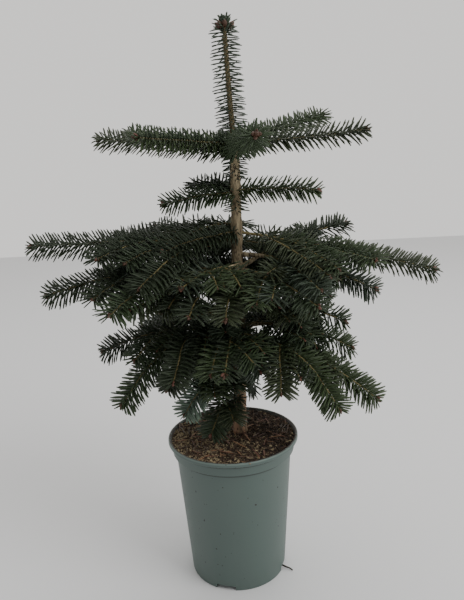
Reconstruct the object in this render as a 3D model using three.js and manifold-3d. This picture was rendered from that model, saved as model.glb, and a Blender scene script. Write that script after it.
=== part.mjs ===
// A young Nordmann fir in a deep nursery pot, about 74 cm tall over all.
// Millimetres, +Z up. The origin is the middle of the pot's flat underside, +X is to the right and +Y away
// from the side that the tree is seen from. Bearings are degrees anticlockwise from +X, seen from above.
import * as THREE from "three";
import { mergeVertices } from "three/addons/utils/BufferGeometryUtils.js";
import Module from "manifold-3d";

const wasm = await Module();
wasm.setup();

// Driving dimensions of the pot: a deep nursery pot, 18 cm across the lip and 20 cm high.
const POT_HEIGHT = 200;
const LIP_RADIUS = 90;
const LIP_HEIGHT = 6;
const BAND_RADIUS = 85;
const BAND_DEPTH = 22;
const WALL_TOP_RADIUS = 80;
const BASE_RADIUS = 67;
const POT_WALL = 1.6;
const FLOOR_THICKNESS = 2.4;
const EDGE_ROUNDING = 1;
const ROUND_STEPS = 36;

// Four drainage steps, where the foot of the wall and the floor behind it are raised off the ground.
const DRAIN_COUNT = 4;
const DRAIN_FIRST_BEARING = 253;
const DRAIN_WIDTH = 27;
const DRAIN_HEIGHT = 6.5;
const DRAIN_DEPTH = 13;
const DRAIN_SLOT_WIDTH = 12;
const DRAIN_SLOT_LENGTH = 5;

// Pieces that touch are kept this far apart. Corners of one piece that are nearer than the second are one.
const CLEARANCE = 0.3;
const MERGE_DISTANCE = 1e-4;

// The potting soil fills the pot to just under its lip.
const SOIL_TOP = 197.4;
const SOIL_EDGE_DROP = 0.6;
const SOIL_FLAT_RADIUS = 50;

// The trunk, from the flat cut at the soil to the top bud: [height, x of its centre, radius].
const TRUNK_FOOT = SOIL_TOP + CLEARANCE;
const TRUNK_TOP = 733;
const TRUNK_Y = 9;
const TRUNK_SIDES = 10;
const TRUNK = [
  [TRUNK_FOOT, 10.8, 10.6],
  [203, 10.8, 9.7],
  [213, 11.2, 9],
  [245, 12.2, 8.6],
  [345, 15.2, 7.7],
  [450, 17.2, 6.9],
  [530, 18.9, 6.5],
  [583, 19.5, 6.2],
  [598, 18.6, 3.1],
  [665, 15.6, 2.6],
  [711, 14.2, 2.4],
  [TRUNK_TOP, 14.2, 1],
];

// Needles round the trunk, as thin sleeves that fins stand out of: [name, foot, top, length of a fin].
const SLEEVE_WALL = 1.15;
const SLEEVE_SIDES = 7;
const SLEEVE_STEP = 9;
const SLEEVE_CAP = 2.5;
const SLEEVE_RISE = 0.12;
const SLEEVE_RISE_SPREAD = 0.2;
const SLEEVE_TUFT = 9;
const SLEEVE_TUFT_RINGS = 3;
const SLEEVE_TUFT_RISE = 0.4;
const SLEEVES = [
  ["leader_needles", 600, TRUNK_TOP + SLEEVE_CAP, 18],
  ["trunk_needles_1", 504, 524, 13],
  ["trunk_needles_2", 544, 577, 13],
];

// Needles on the shoots. Each fin stands for several of them, so its root is wider than one needle's.
const NEEDLE_SIDE = 24;
const NEEDLE_TOP = 15;
const NEEDLE_UNDER = 15;
const NEEDLE_FORWARD = 0.5;
const NEEDLE_WANDER = 0.14;
const NEEDLE_LENGTH_SPREAD = 1.5;
const FIN_STEP = 15;
const TUFT = 9;
const FIN_ROOM = 0.8;
const FIN_TEST_SHARES = [0.4, 0.7, 1];
const FIN_LENGTH_SHARES = [1, 0.75, 0.5];
const SHOOT_TIP_RADIUS = 1.1;
const SHOOT_ROOM = 7;
const SIDE_SHOOT_SHARE = 0.75;

// How a branch forks: where one year's growth ends, a side shoot leaves on either side of the axis. Each
// year's growth is longer than the one before it, by this power of the years.
const YEAR_POWER = 2;
const FORK_ANGLE = 50;
const FORK_ANGLE_SPREAD = 7;
const FORK_SHARE = 0.74;
const FORK_SHARE_SPREAD = 0.12;
const SHORTEST_SHOOT = 28;
const BOUGH_SIDES = 5;
const BOUGH_STEPS = 3;
const BOUGH_ROOT_SHARE = 1.25;
const BOUGH_TIP_SHARE = 0.8;

// The tiers of branches, from the top down. Each branch is [height on the trunk, bearing, reach, rise of
// its tip]. years is how long they have grown, arch how high they bow as a share of the reach, and bare
// the share of them, next to the trunk, that is a bough with no needles. Where bare is 0 there is no bough
// and the needles start at the trunk. droop is how far a side shoot's tip falls, as a share of its length,
// and how much that varies.
const TIERS = [
  {
    name: "top", years: 1, arch: 0, bare: 0, radius: 2.2, droop: [0.12, 0.1],
    branches: [
      [587, 349, 162, 9], [590, 36, 160, 40], [584, 92, 148, 26], [588, 148, 172, 27],
      [581, 176, 172, 22], [589, 213, 134, 7], [584, 281, 108, 7],
    ],
  },
  {
    name: "between", years: 1, arch: 0.03, bare: 0, radius: 2, droop: [0.12, 0.1],
    branches: [
      [531, 349, 104, -5], [529, 192, 94, -11], [534, 138, 76, 6], [478, 217, 112, -14],
      [312, 68, 42, -70],
    ],
  },
  {
    name: "upper", years: 3, arch: 0.01, bare: 0, radius: 2.8, droop: [0.2, 0.15],
    branches: [
      [478, 353, 252, -56], [466, 80, 170, -28], [488, 142, 148, -6], [480, 156, 187, -7],
      [467, 187, 260, 7],
    ],
  },
  {
    name: "middle", years: 3, arch: 0.06, bare: 0.2, radius: 3.4, droop: [0.25, 0.15],
    branches: [
      [428, 15, 158, 50], [448, 338, 178, -42], [418, 95, 205, -16], [424, 196, 242, -6],
      [432, 236, 120, -6], [428, 303, 155, -26], [408, 210, 153, -11], [399, 62, 180, -8],
    ],
  },
  {
    name: "lower", years: 3, arch: 0.1, bare: 0.2, radius: 3.8, droop: [0.25, 0.2],
    branches: [
      [371, 345, 140, -12], [340, 46, 166, -20], [350, 134, 185, -18], [338, 186, 182, -9],
      [353, 259, 118, -30], [332, 336, 184, -64], [350, 355, 150, -34],
    ],
  },
  {
    name: "lowest", years: 3, arch: 0.28, bare: 0, radius: 2.6, droop: [0.4, 0.2],
    branches: [
      [326, 206, 168, -52], [385, 260, 100, 0], [312, 318, 155, -44], [290, 97, 140, -36],
      [270, 212, 88, -24], [246, 232, 66, -28], [346, 219, 120, -52],
    ],
  },
];

const FIRST_SEED = 100;
const TRUNK_BARK = new THREE.MeshStandardMaterial({ color: 0x7a6650, roughness: 0.85, metalness: 0 });
const BOUGH_BARK = new THREE.MeshStandardMaterial({ color: 0x6e5c44, roughness: 0.8, metalness: 0 });
const NEEDLE_GREEN = new THREE.MeshStandardMaterial({ color: 0x24402b, roughness: 0.5, metalness: 0 });
const POT_GREEN = new THREE.MeshStandardMaterial({ color: 0x7b9088, roughness: 0.6, metalness: 0 });
const SOIL_BROWN = new THREE.MeshStandardMaterial({ color: 0x4b3526, roughness: 0.95, metalness: 0 });

const UP = new THREE.Vector3(0, 0, 1);
const AWAY = new THREE.Vector3(0, 1, 0);
const plant = new THREE.Group();

// A mulberry32 generator: the same numbers from 0 to 1 on every run.
function seeded(seed) {
  let state = seed >>> 0;
  return () => {
    state = (state + 0x6d2b79f5) >>> 0;
    let t = Math.imul(state ^ (state >>> 15), state | 1);
    t ^= t + Math.imul(t ^ (t >>> 7), t | 61);
    return ((t ^ (t >>> 14)) >>> 0) / 4294967296;
  };
}

const around = (random, middle, width) => middle + (random() * 2 - 1) * width;

// count + 1 even steps from one value to another.
function stepped(from, to, count) {
  return Array.from({ length: count + 1 }, (_, i) => THREE.MathUtils.lerp(from, to, i / count));
}

// The trunk's row at a height, with straight lines between the rows of the table.
function trunkRow(height) {
  const next = Math.max(1, TRUNK.findIndex(([at]) => at >= height));
  const [below, above] = [TRUNK[next - 1], TRUNK[next]];
  const share = (height - below[0]) / (above[0] - below[0]);
  return below.map((value, i) => THREE.MathUtils.lerp(value, above[i], share));
}

function trunkPoint(height) {
  return new THREE.Vector3(trunkRow(height)[1], TRUNK_Y, height);
}

// Turns a closed geometry into a solid that can be joined and cut.
function solidOf(geometry) {
  const bare = geometry.index ? geometry.toNonIndexed() : geometry.clone();
  bare.deleteAttribute("normal");
  bare.deleteAttribute("uv");
  const merged = mergeVertices(bare, MERGE_DISTANCE);
  const triangles = [];
  for (let i = 0; i < merged.index.count; i += 3) {
    const [a, b, c] = merged.index.array.slice(i, i + 3);
    if (a !== b && b !== c && c !== a) triangles.push(a, b, c);
  }
  const vertProperties = merged.attributes.position.array;
  const triVerts = new Uint32Array(triangles);
  return new wasm.Manifold(new wasm.Mesh({ numProp: 3, vertProperties, triVerts }));
}

function addPiece(name, solid, material) {
  const mesh = solid.getMesh();
  const geometry = new THREE.BufferGeometry();
  geometry.setAttribute("position", new THREE.BufferAttribute(mesh.vertProperties, 3));
  geometry.setIndex(new THREE.BufferAttribute(mesh.triVerts, 1));
  geometry.computeVertexNormals();
  const piece = new THREE.Mesh(geometry, material);
  piece.name = name;
  plant.add(piece);
}

// The largest of a solid's separate bodies: scraps that a cut leaves are dropped.
function largestBody(solid) {
  return solid.decompose().sort((a, b) => b.volume() - a.volume())[0];
}

// A solid turned round the Z axis from its half outline, given as [radius, height] points from foot to top.
function turned(outline) {
  const points = outline.map(([radius, height]) => new THREE.Vector2(radius, height));
  return solidOf(new THREE.LatheGeometry(points, ROUND_STEPS).rotateX(Math.PI / 2));
}

function boxAt(bearing, near, far, width, low, high) {
  const box = new THREE.BoxGeometry(far - near, width, high - low);
  box.translate((near + far) / 2, 0, (low + high) / 2);
  return solidOf(box.rotateZ(THREE.MathUtils.degToRad(bearing)));
}

const BAND_FOOT = POT_HEIGHT - BAND_DEPTH;
const LIP_FOOT = POT_HEIGHT - LIP_HEIGHT;
const DRAIN_BEARINGS = stepped(DRAIN_FIRST_BEARING, DRAIN_FIRST_BEARING + 360, DRAIN_COUNT).slice(1);

// The pot: a tapering wall with a band and a lip at its top, and a flat floor with the drainage steps.
function makePot() {
  let pot = turned([
    [0, 0],
    [BASE_RADIUS, 0],
    [WALL_TOP_RADIUS, BAND_FOOT],
    [BAND_RADIUS - EDGE_ROUNDING, BAND_FOOT + 2 * EDGE_ROUNDING],
    [BAND_RADIUS, LIP_FOOT],
    [LIP_RADIUS - EDGE_ROUNDING, LIP_FOOT],
    [LIP_RADIUS, LIP_FOOT + EDGE_ROUNDING],
    [LIP_RADIUS, POT_HEIGHT - EDGE_ROUNDING],
    [LIP_RADIUS - EDGE_ROUNDING, POT_HEIGHT],
    [BAND_RADIUS - POT_WALL + EDGE_ROUNDING, POT_HEIGHT],
    [BAND_RADIUS - POT_WALL, LIP_FOOT - EDGE_ROUNDING],
    [BAND_RADIUS - POT_WALL - EDGE_ROUNDING, BAND_FOOT + 3 * EDGE_ROUNDING],
    [WALL_TOP_RADIUS - POT_WALL, BAND_FOOT + EDGE_ROUNDING],
    [BASE_RADIUS - POT_WALL, FLOOR_THICKNESS],
    [0, FLOOR_THICKNESS],
  ]);
  const inside = BASE_RADIUS - DRAIN_DEPTH;
  const roof = DRAIN_HEIGHT + FLOOR_THICKNESS;
  const within = turned([[0, 0], [BASE_RADIUS, 0], [BASE_RADIUS + EDGE_ROUNDING / 2, roof], [0, roof]]);
  for (const bearing of DRAIN_BEARINGS) {
    const step = boxAt(bearing, inside - POT_WALL, BASE_RADIUS + 1, DRAIN_WIDTH + 2 * POT_WALL, 1, 2 * roof);
    pot = pot.add(step.intersect(within));
  }
  for (const bearing of DRAIN_BEARINGS) {
    pot = pot.subtract(boxAt(bearing, inside, LIP_RADIUS, DRAIN_WIDTH, -1, DRAIN_HEIGHT));
    const slotFrom = inside + (DRAIN_DEPTH - DRAIN_SLOT_LENGTH) / 2;
    const slot = boxAt(bearing, slotFrom, slotFrom + DRAIN_SLOT_LENGTH, DRAIN_SLOT_WIDTH, 1, roof + 1);
    pot = pot.subtract(slot);
  }
  return pot;
}

// The soil follows the inside of the pot and is cut clear of the drainage steps.
function makeSoil() {
  const gap = POT_WALL + CLEARANCE;
  let soil = turned([
    [0, FLOOR_THICKNESS + CLEARANCE],
    [BASE_RADIUS - gap, FLOOR_THICKNESS + CLEARANCE],
    [WALL_TOP_RADIUS - gap, BAND_FOOT + EDGE_ROUNDING],
    [BAND_RADIUS - EDGE_ROUNDING - gap, BAND_FOOT + 3 * EDGE_ROUNDING + CLEARANCE],
    [BAND_RADIUS - gap, LIP_FOOT - EDGE_ROUNDING],
    [BAND_RADIUS - gap, SOIL_TOP - SOIL_EDGE_DROP],
    [SOIL_FLAT_RADIUS, SOIL_TOP],
    [0, SOIL_TOP],
  ]);
  const inside = BASE_RADIUS - DRAIN_DEPTH - gap;
  const roof = DRAIN_HEIGHT + FLOOR_THICKNESS + CLEARANCE;
  for (const bearing of DRAIN_BEARINGS) {
    soil = soil.subtract(boxAt(bearing, inside, LIP_RADIUS, DRAIN_WIDTH + 2 * gap, 0, roof));
  }
  return soil;
}

// Every limb and shoot as straight lines with a radius. A needle keeps to the space that is nearest to its
// own shoot.
const lines = [];

function claimSpace(piece, shoot, centres, radius) {
  for (let i = 0; i + 1 < centres.length; i++) {
    lines.push({ piece, shoot, from: centres[i], along: centres[i + 1].clone().sub(centres[i]), radius });
  }
}

// How far a point is from the surface of a line.
function gapTo(line, point) {
  const { from, along } = line;
  const [x, y, z] = [point.x - from.x, point.y - from.y, point.z - from.z];
  const share = (x * along.x + y * along.y + z * along.z) / along.lengthSq();
  const t = Math.min(1, Math.max(0, share));
  return Math.hypot(x - t * along.x, y - t * along.y, z - t * along.z) - line.radius;
}

// A fin fits where its edges are nearer to its own shoot than to any other, with room left to other pieces.
function finFits(piece, shoot, corners, apex) {
  const own = lines.filter((line) => line.shoot === shoot);
  const others = lines.filter((line) => line.shoot !== shoot);
  return FIN_TEST_SHARES.every((share) => corners.every((corner) => {
    const point = corner.clone().lerp(apex, share);
    const ownGap = Math.min(...own.map((line) => gapTo(line, point)));
    return others.every((line) => gapTo(line, point) > ownGap + (line.piece === piece ? 0 : FIN_ROOM));
  }));
}

// The tip of a fin that stands on three corners: at its full length where that fits, else shorter or none.
function finTip(piece, shoot, corners, heading, length) {
  const middle = corners[0].clone().add(corners[1]).add(corners[2]).divideScalar(3);
  const tips = FIN_LENGTH_SHARES.map((share) => middle.clone().addScaledVector(heading, share * length));
  return tips.find((tip) => finFits(piece, shoot, corners, tip)) ?? null;
}

// Collects triangles and makes a closed geometry of them.
class Faces {
  constructor() {
    this.positions = [];
  }
  add(...corners) {
    for (const corner of corners) this.positions.push(corner.x, corner.y, corner.z);
  }
  solid() {
    const made = new THREE.BufferGeometry();
    made.setAttribute("position", new THREE.Float32BufferAttribute(this.positions, 3));
    return solidOf(made);
  }
}

// Directions across a path: up is as near as it can be to the reference, and side is across both.
function acrossOf(centres, i, reference) {
  const before = centres[Math.max(i - 1, 0)];
  const tangent = centres[Math.min(i + 1, centres.length - 1)].clone().sub(before).normalize();
  const side = new THREE.Vector3().crossVectors(tangent, reference).normalize();
  return { tangent, side, up: new THREE.Vector3().crossVectors(side, tangent) };
}

// A limb with flat sides through the centres. raise(ring, side, half) gives the corner that one of the two
// triangles of a side is raised to, as a fin, or nothing. A radius of 0 ends the limb in a point.
function makeLimb(centres, radii, sides, reference, raise = () => null) {
  const faces = new Faces();
  const rings = centres.map((centre, i) => {
    const { side, up } = acrossOf(centres, i, reference);
    return stepped(0, 2 * Math.PI, sides).slice(0, sides).map((angle) => {
      const corner = centre.clone().addScaledVector(up, radii[i] * Math.cos(angle));
      return corner.addScaledVector(side, radii[i] * Math.sin(angle));
    });
  });
  const cover = (ring, side, half, corners) => {
    const apex = raise(ring, side, half, corners);
    if (!apex) return faces.add(...corners);
    return corners.forEach((corner, k) => faces.add(corner, corners[(k + 1) % 3], apex));
  };
  for (let i = 0; i + 1 < rings.length; i++) {
    for (let s = 0; s < sides; s++) {
      const t = (s + 1) % sides;
      cover(i, s, 0, [rings[i][s], rings[i][t], rings[i + 1][t]]);
      if (radii[i + 1] > 0) cover(i, s, 1, [rings[i][s], rings[i + 1][t], rings[i + 1][s]]);
    }
  }
  const last = rings.length - 1;
  for (let s = 1; s + 1 < sides; s++) {
    faces.add(rings[0][0], rings[0][s + 1], rings[0][s]);
    if (radii[last] > 0) faces.add(rings[last][0], rings[last][s], rings[last][s + 1]);
  }
  return faces.solid();
}

// The trunk, made thicker by grow to cut pieces clear of it.
function makeTrunk(grow) {
  const rows = TRUNK.map((row) => [...row]);
  rows[0][0] -= grow;
  rows[rows.length - 1][0] += grow;
  const centres = rows.map(([height, x]) => new THREE.Vector3(x, TRUNK_Y, height));
  return makeLimb(centres, rows.map(([, , radius]) => radius + grow), TRUNK_SIDES, AWAY);
}

// A thin sleeve of needles round the trunk. The one round the leader closes over its tip with a tuft.
function makeSleeve([name, foot, top, length], random) {
  const steps = Math.round((top - foot) / SLEEVE_STEP);
  const heights = stepped(foot, top, steps);
  const centres = heights.map((height) => trunkPoint(Math.min(height, TRUNK_TOP)).setZ(height));
  const radii = heights.map((height) => trunkRow(Math.min(height, TRUNK_TOP))[2] + SLEEVE_WALL);
  claimSpace(name, name, centres, radii[0]);
  return makeLimb(centres, radii, SLEEVE_SIDES, AWAY, (ring, side, half, corners) => {
    if (half !== side % 2) return null;
    const middle = corners[0].clone().add(corners[1]).add(corners[2]).divideScalar(3);
    const out = middle.clone().sub(centres[ring]).setZ(0).normalize();
    const tuft = top > TRUNK_TOP ? Math.max(0, ring + SLEEVE_TUFT_RINGS - steps) : 0;
    out.z = around(random, SLEEVE_RISE, SLEEVE_RISE_SPREAD) + tuft * SLEEVE_TUFT_RISE;
    const tip = finTip(name, name, corners, out.normalize(), around(random, length, NEEDLE_LENGTH_SPREAD));
    return tip && tip.setZ(Math.min(tip.z, TRUNK_TOP + SLEEVE_TUFT));
  });
}

// A branch's axis from the trunk's centre line to its tip, bowed upwards by its arch.
function branchAxis(tier, [height, bearing, reach, rise]) {
  const root = trunkPoint(height);
  const angle = THREE.MathUtils.degToRad(bearing);
  const tip = root.clone().add(new THREE.Vector3(reach * Math.cos(angle), reach * Math.sin(angle), rise));
  const middle = root.clone().lerp(tip, 0.5).addScaledVector(UP, 2 * tier.arch * reach);
  return new THREE.QuadraticBezierCurve3(root, middle, tip);
}

// A side shoot that leaves an axis at a share of its way, in the plane of the branch, and droops.
function sideAxis(axis, share, side, length, [droop, droopSpread], random) {
  const root = axis.getPoint(share);
  const tangent = axis.getTangent(share);
  const across = new THREE.Vector3().crossVectors(tangent, UP).normalize().multiplyScalar(side);
  const angle = THREE.MathUtils.degToRad(around(random, FORK_ANGLE, FORK_ANGLE_SPREAD));
  const heading = tangent.multiplyScalar(Math.cos(angle)).addScaledVector(across, Math.sin(angle));
  const fall = around(random, droop, droopSpread) * length;
  const tip = root.clone().addScaledVector(heading, length).addScaledVector(UP, -fall);
  return new THREE.QuadraticBezierCurve3(root, root.clone().addScaledVector(heading, length / 2), tip);
}

// How far it is from an axis's root straight to its tip.
const span = (axis) => axis.v0.distanceTo(axis.v2);

// The points of an axis from a share of its way to its tip, about a step apart.
function axisPoints(axis, from, step) {
  const steps = Math.max(2, Math.round((span(axis) * (1 - from)) / step));
  return stepped(from, 1, steps).map((share) => axis.getPoint(share));
}

// A shoot follows its axis, and ends in a point past its bud, where the last needles reach.
function addShoot(mass, axis, from, radius) {
  const centres = axisPoints(axis, from, FIN_STEP);
  centres.push(centres.at(-1).clone().addScaledVector(axis.getTangent(1), TUFT));
  const shoot = { name: `${mass.name} ${mass.shoots.length}`, centres, radius };
  mass.shoots.push(shoot);
  claimSpace(mass.name, shoot.name, shoot.centres, radius / 2);
  return shoot;
}

// Adds the side shoots of an axis, and theirs, to a mass. One that comes near to another limb is skipped.
function addSideShoots(mass, shoot, axis, from, years, random) {
  for (let year = 1; year < years; year++) {
    const share = THREE.MathUtils.lerp(from, 1, (year / years) ** YEAR_POWER);
    for (const side of [-1, 1]) {
      const length = around(random, FORK_SHARE, FORK_SHARE_SPREAD) * (1 - share) * span(axis);
      const branch = sideAxis(axis, share, side, length, mass.tier.droop, random);
      if (length < SHORTEST_SHOOT) continue;
      const outer = axisPoints(branch, SHOOT_ROOM / length, SHOOT_ROOM / 2);
      const others = lines.filter((line) => line.shoot !== shoot.name);
      if (others.some((line) => outer.some((point) => gapTo(line, point) < SHOOT_ROOM))) continue;
      const sideShoot = addShoot(mass, branch, 0, shoot.radius * SIDE_SHOOT_SHARE);
      addSideShoots(mass, sideShoot, branch, 0, years - year, random);
    }
  }
}

// Where the two triangles of each side of a three-sided shoot point their fins: [sideways, upwards, length].
const FIN_HEADINGS = [
  [[0.95, 0.22, NEEDLE_SIDE], [0.45, 0.8, NEEDLE_TOP]],
  [[0.35, -0.9, NEEDLE_UNDER], [-0.35, -0.9, NEEDLE_UNDER]],
  [[-0.45, 0.8, NEEDLE_TOP], [-0.95, 0.22, NEEDLE_SIDE]],
];
const UNDER_SIDE = 1;

// One shoot: a slim three-sided core that needles stand out of, parted to its two sides.
function makeShoot(mass, shoot, random) {
  const { centres, radius } = shoot;
  const last = centres.length - 1;
  const radii = stepped(radius, SHOOT_TIP_RADIUS, last);
  radii[last] = 0;
  return makeLimb(centres, radii, FIN_HEADINGS.length, UP, (ring, side, half, corners) => {
    const { tangent, side: aside, up } = acrossOf(centres, ring, UP);
    const [sideways, upwards, length] = FIN_HEADINGS[side][half];
    const pointing = new THREE.Vector3()
      .addScaledVector(aside, around(random, sideways, NEEDLE_WANDER))
      .addScaledVector(up, around(random, upwards, NEEDLE_WANDER))
      .addScaledVector(tangent, around(random, NEEDLE_FORWARD, NEEDLE_WANDER))
      .normalize();
    if (side === UNDER_SIDE && half !== ring % 2) return null;
    return finTip(mass.name, shoot.name, corners, pointing, around(random, length, NEEDLE_LENGTH_SPREAD));
  });
}

function makeBough(axis, tier, number, trunkSpace) {
  const centres = stepped(0, tier.bare, BOUGH_STEPS).map((share) => axis.getPoint(share));
  const radii = stepped(tier.radius * BOUGH_ROOT_SHARE, tier.radius * BOUGH_TIP_SHARE, BOUGH_STEPS);
  const name = `${tier.name}_bough_${number}`;
  claimSpace(name, name, centres, tier.radius);
  addPiece(name, largestBody(makeLimb(centres, radii, BOUGH_SIDES, UP).subtract(trunkSpace)), BOUGH_BARK);
}

addPiece("pot", makePot(), POT_GREEN);
addPiece("soil", makeSoil(), SOIL_BROWN);
addPiece("trunk", makeTrunk(0), TRUNK_BARK);
for (let i = 0; i + 1 < TRUNK.length; i++) {
  claimSpace("trunk", "trunk", [trunkPoint(TRUNK[i][0]), trunkPoint(TRUNK[i + 1][0])], TRUNK[i + 1][2]);
}

// The limbs come first, then the shoots of every mass, and then the needles, which need to know all of them.
const trunkSpace = makeTrunk(CLEARANCE);
const masses = [];
for (const tier of TIERS) {
  tier.branches.forEach((branch, i) => {
    const axis = branchAxis(tier, branch);
    if (tier.bare > 0) makeBough(axis, tier, i + 1, trunkSpace);
    const from = tier.bare + (tier.bare > 0 ? CLEARANCE / span(axis) : 0);
    const mass = { name: `${tier.name}_needles_${i + 1}`, tier, axis, from, shoots: [] };
    addShoot(mass, axis, from, tier.radius);
    masses.push(mass);
  });
}
masses.forEach((mass, i) => {
  addSideShoots(mass, mass.shoots[0], mass.axis, mass.from, mass.tier.years, seeded(FIRST_SEED + i));
});
for (const sleeve of SLEEVES) {
  const solid = makeSleeve(sleeve, seeded(FIRST_SEED)).subtract(trunkSpace);
  addPiece(sleeve[0], largestBody(solid), NEEDLE_GREEN);
}
masses.forEach((mass, i) => {
  const random = seeded(2 * FIRST_SEED + i);
  const shoots = mass.shoots.map((shoot) => makeShoot(mass, shoot, random));
  const solid = shoots.reduce((all, one) => all.add(one)).subtract(trunkSpace);
  addPiece(mass.name, largestBody(solid), NEEDLE_GREEN);
});

export default plant;
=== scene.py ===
"""A young Nordmann fir in a deep nursery pot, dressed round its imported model.

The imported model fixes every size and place. This script grows the same branches again by the same
rule, carries them on to finer twigs, and sets needles, buds, bark, pot and soil where the plain
solids are. Growth is worked out in millimetres, and every mesh is in metres.
"""

import logging
import math
from dataclasses import dataclass, field
from enum import Enum
from typing import Any, Callable, Iterable, Sequence

import bpy
import numpy as np
from bpy.types import ID, Material, Mesh, Node, NodeSocket as Socket, NodeTree, Object
from mathutils import Matrix, Vector, noise


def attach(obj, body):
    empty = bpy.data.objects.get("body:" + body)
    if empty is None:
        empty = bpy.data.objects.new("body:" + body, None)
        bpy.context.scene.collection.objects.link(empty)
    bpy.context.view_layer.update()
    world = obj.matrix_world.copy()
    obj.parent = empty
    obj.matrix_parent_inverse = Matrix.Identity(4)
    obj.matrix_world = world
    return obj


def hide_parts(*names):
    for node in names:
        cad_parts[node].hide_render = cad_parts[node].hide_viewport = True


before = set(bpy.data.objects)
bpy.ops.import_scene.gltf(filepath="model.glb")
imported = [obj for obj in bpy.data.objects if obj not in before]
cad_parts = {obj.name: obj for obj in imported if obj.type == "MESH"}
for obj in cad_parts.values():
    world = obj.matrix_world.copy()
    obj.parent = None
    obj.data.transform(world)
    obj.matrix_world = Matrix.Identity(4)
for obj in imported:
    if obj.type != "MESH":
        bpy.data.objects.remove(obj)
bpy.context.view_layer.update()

LOG = logging.getLogger("potted_fir")
MM = 0.001
WHOLE_TURN = 2 * math.pi
UP = np.array([0.0, 0.0, 1.0])

Pair = tuple[float, float]
Triple = tuple[float, float, float]
Colour = Triple
Points = list[np.ndarray]
Faces = list[tuple[int, ...]]
Lines = list[tuple[Points, dict[str, Any]]]
Placed = list[tuple[np.ndarray, np.ndarray, float]]


class Slot(Enum):
    """The record's material slots, which no piece in this script takes its finish from."""

    POT = "pot"
    SOIL = "soil"
    BARK = "bark"
    TWIGS = "twigs"
    NEEDLES = "needles"


def lerp(start: float, end: float, share: float) -> float:
    """The value at a share of the way from start to end."""
    return (1 - share) * start + share * end


def stepped(start: float, end: float, count: int) -> list[float]:
    """count + 1 even steps from start to end."""
    return [lerp(start, end, i / count) for i in range(count + 1)]


def nearest_whole(value: float) -> int:
    """The nearest whole number, with halves rounded up."""
    return math.floor(value + 0.5)


def unit(vector: np.ndarray) -> np.ndarray:
    """The vector at length 1."""
    return vector / np.linalg.norm(vector)


def outward(bearing: float) -> np.ndarray:
    """The level direction at a bearing, in degrees from +X towards +Y."""
    turn = math.radians(bearing)
    return np.array([math.cos(turn), math.sin(turn), 0.0])


def circle(radius: float, height: float, sides: int) -> Points:
    """The corners of a level ring round the upright axis."""
    turns = [WHOLE_TURN * k / sides for k in range(sides)]
    return [np.array([radius * math.cos(turn), radius * math.sin(turn), height]) for turn in turns]


def chain(first: int, count: int) -> list[tuple[int, int]]:
    """The edges that join count points in a row, from the point with the number first."""
    return [(first + i, first + i + 1) for i in range(count - 1)]


def renumbered(faces: Faces, first: int) -> Faces:
    """The faces of a shape whose points are added to others, from the number first."""
    return [tuple(first + i for i in face) for face in faces]


def hand_over(piece: Object, nodes: Iterable[str]) -> None:
    """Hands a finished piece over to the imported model.

    Args:
        piece: the finished mesh object, which sits at the origin.
        nodes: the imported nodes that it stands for.
    """
    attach(piece, "root")
    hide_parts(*nodes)
    faces = sum(len(face.vertices) - 2 for face in piece.data.polygons)
    LOG.info("%s: %d triangles", piece.name, faces)


def new_object(data: ID) -> Object:
    """Links a mesh, a camera or a light to the scene, at the origin and with its own name.

    Args:
        data: the mesh, in metres, or the camera or light.

    Returns:
        The new object.
    """
    piece = bpy.data.objects.new(data.name, data)
    bpy.context.scene.collection.objects.link(piece)
    return piece


def evaluated(piece: Object, name: str) -> Mesh:
    """Keeps what a piece's modifiers make.

    Args:
        piece: the piece.
        name: the new mesh's name.

    Returns:
        The plain mesh.
    """
    graph = bpy.context.evaluated_depsgraph_get()
    mesh = bpy.data.meshes.new_from_object(piece.evaluated_get(graph), depsgraph=graph)
    mesh.name = name
    return mesh


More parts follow.
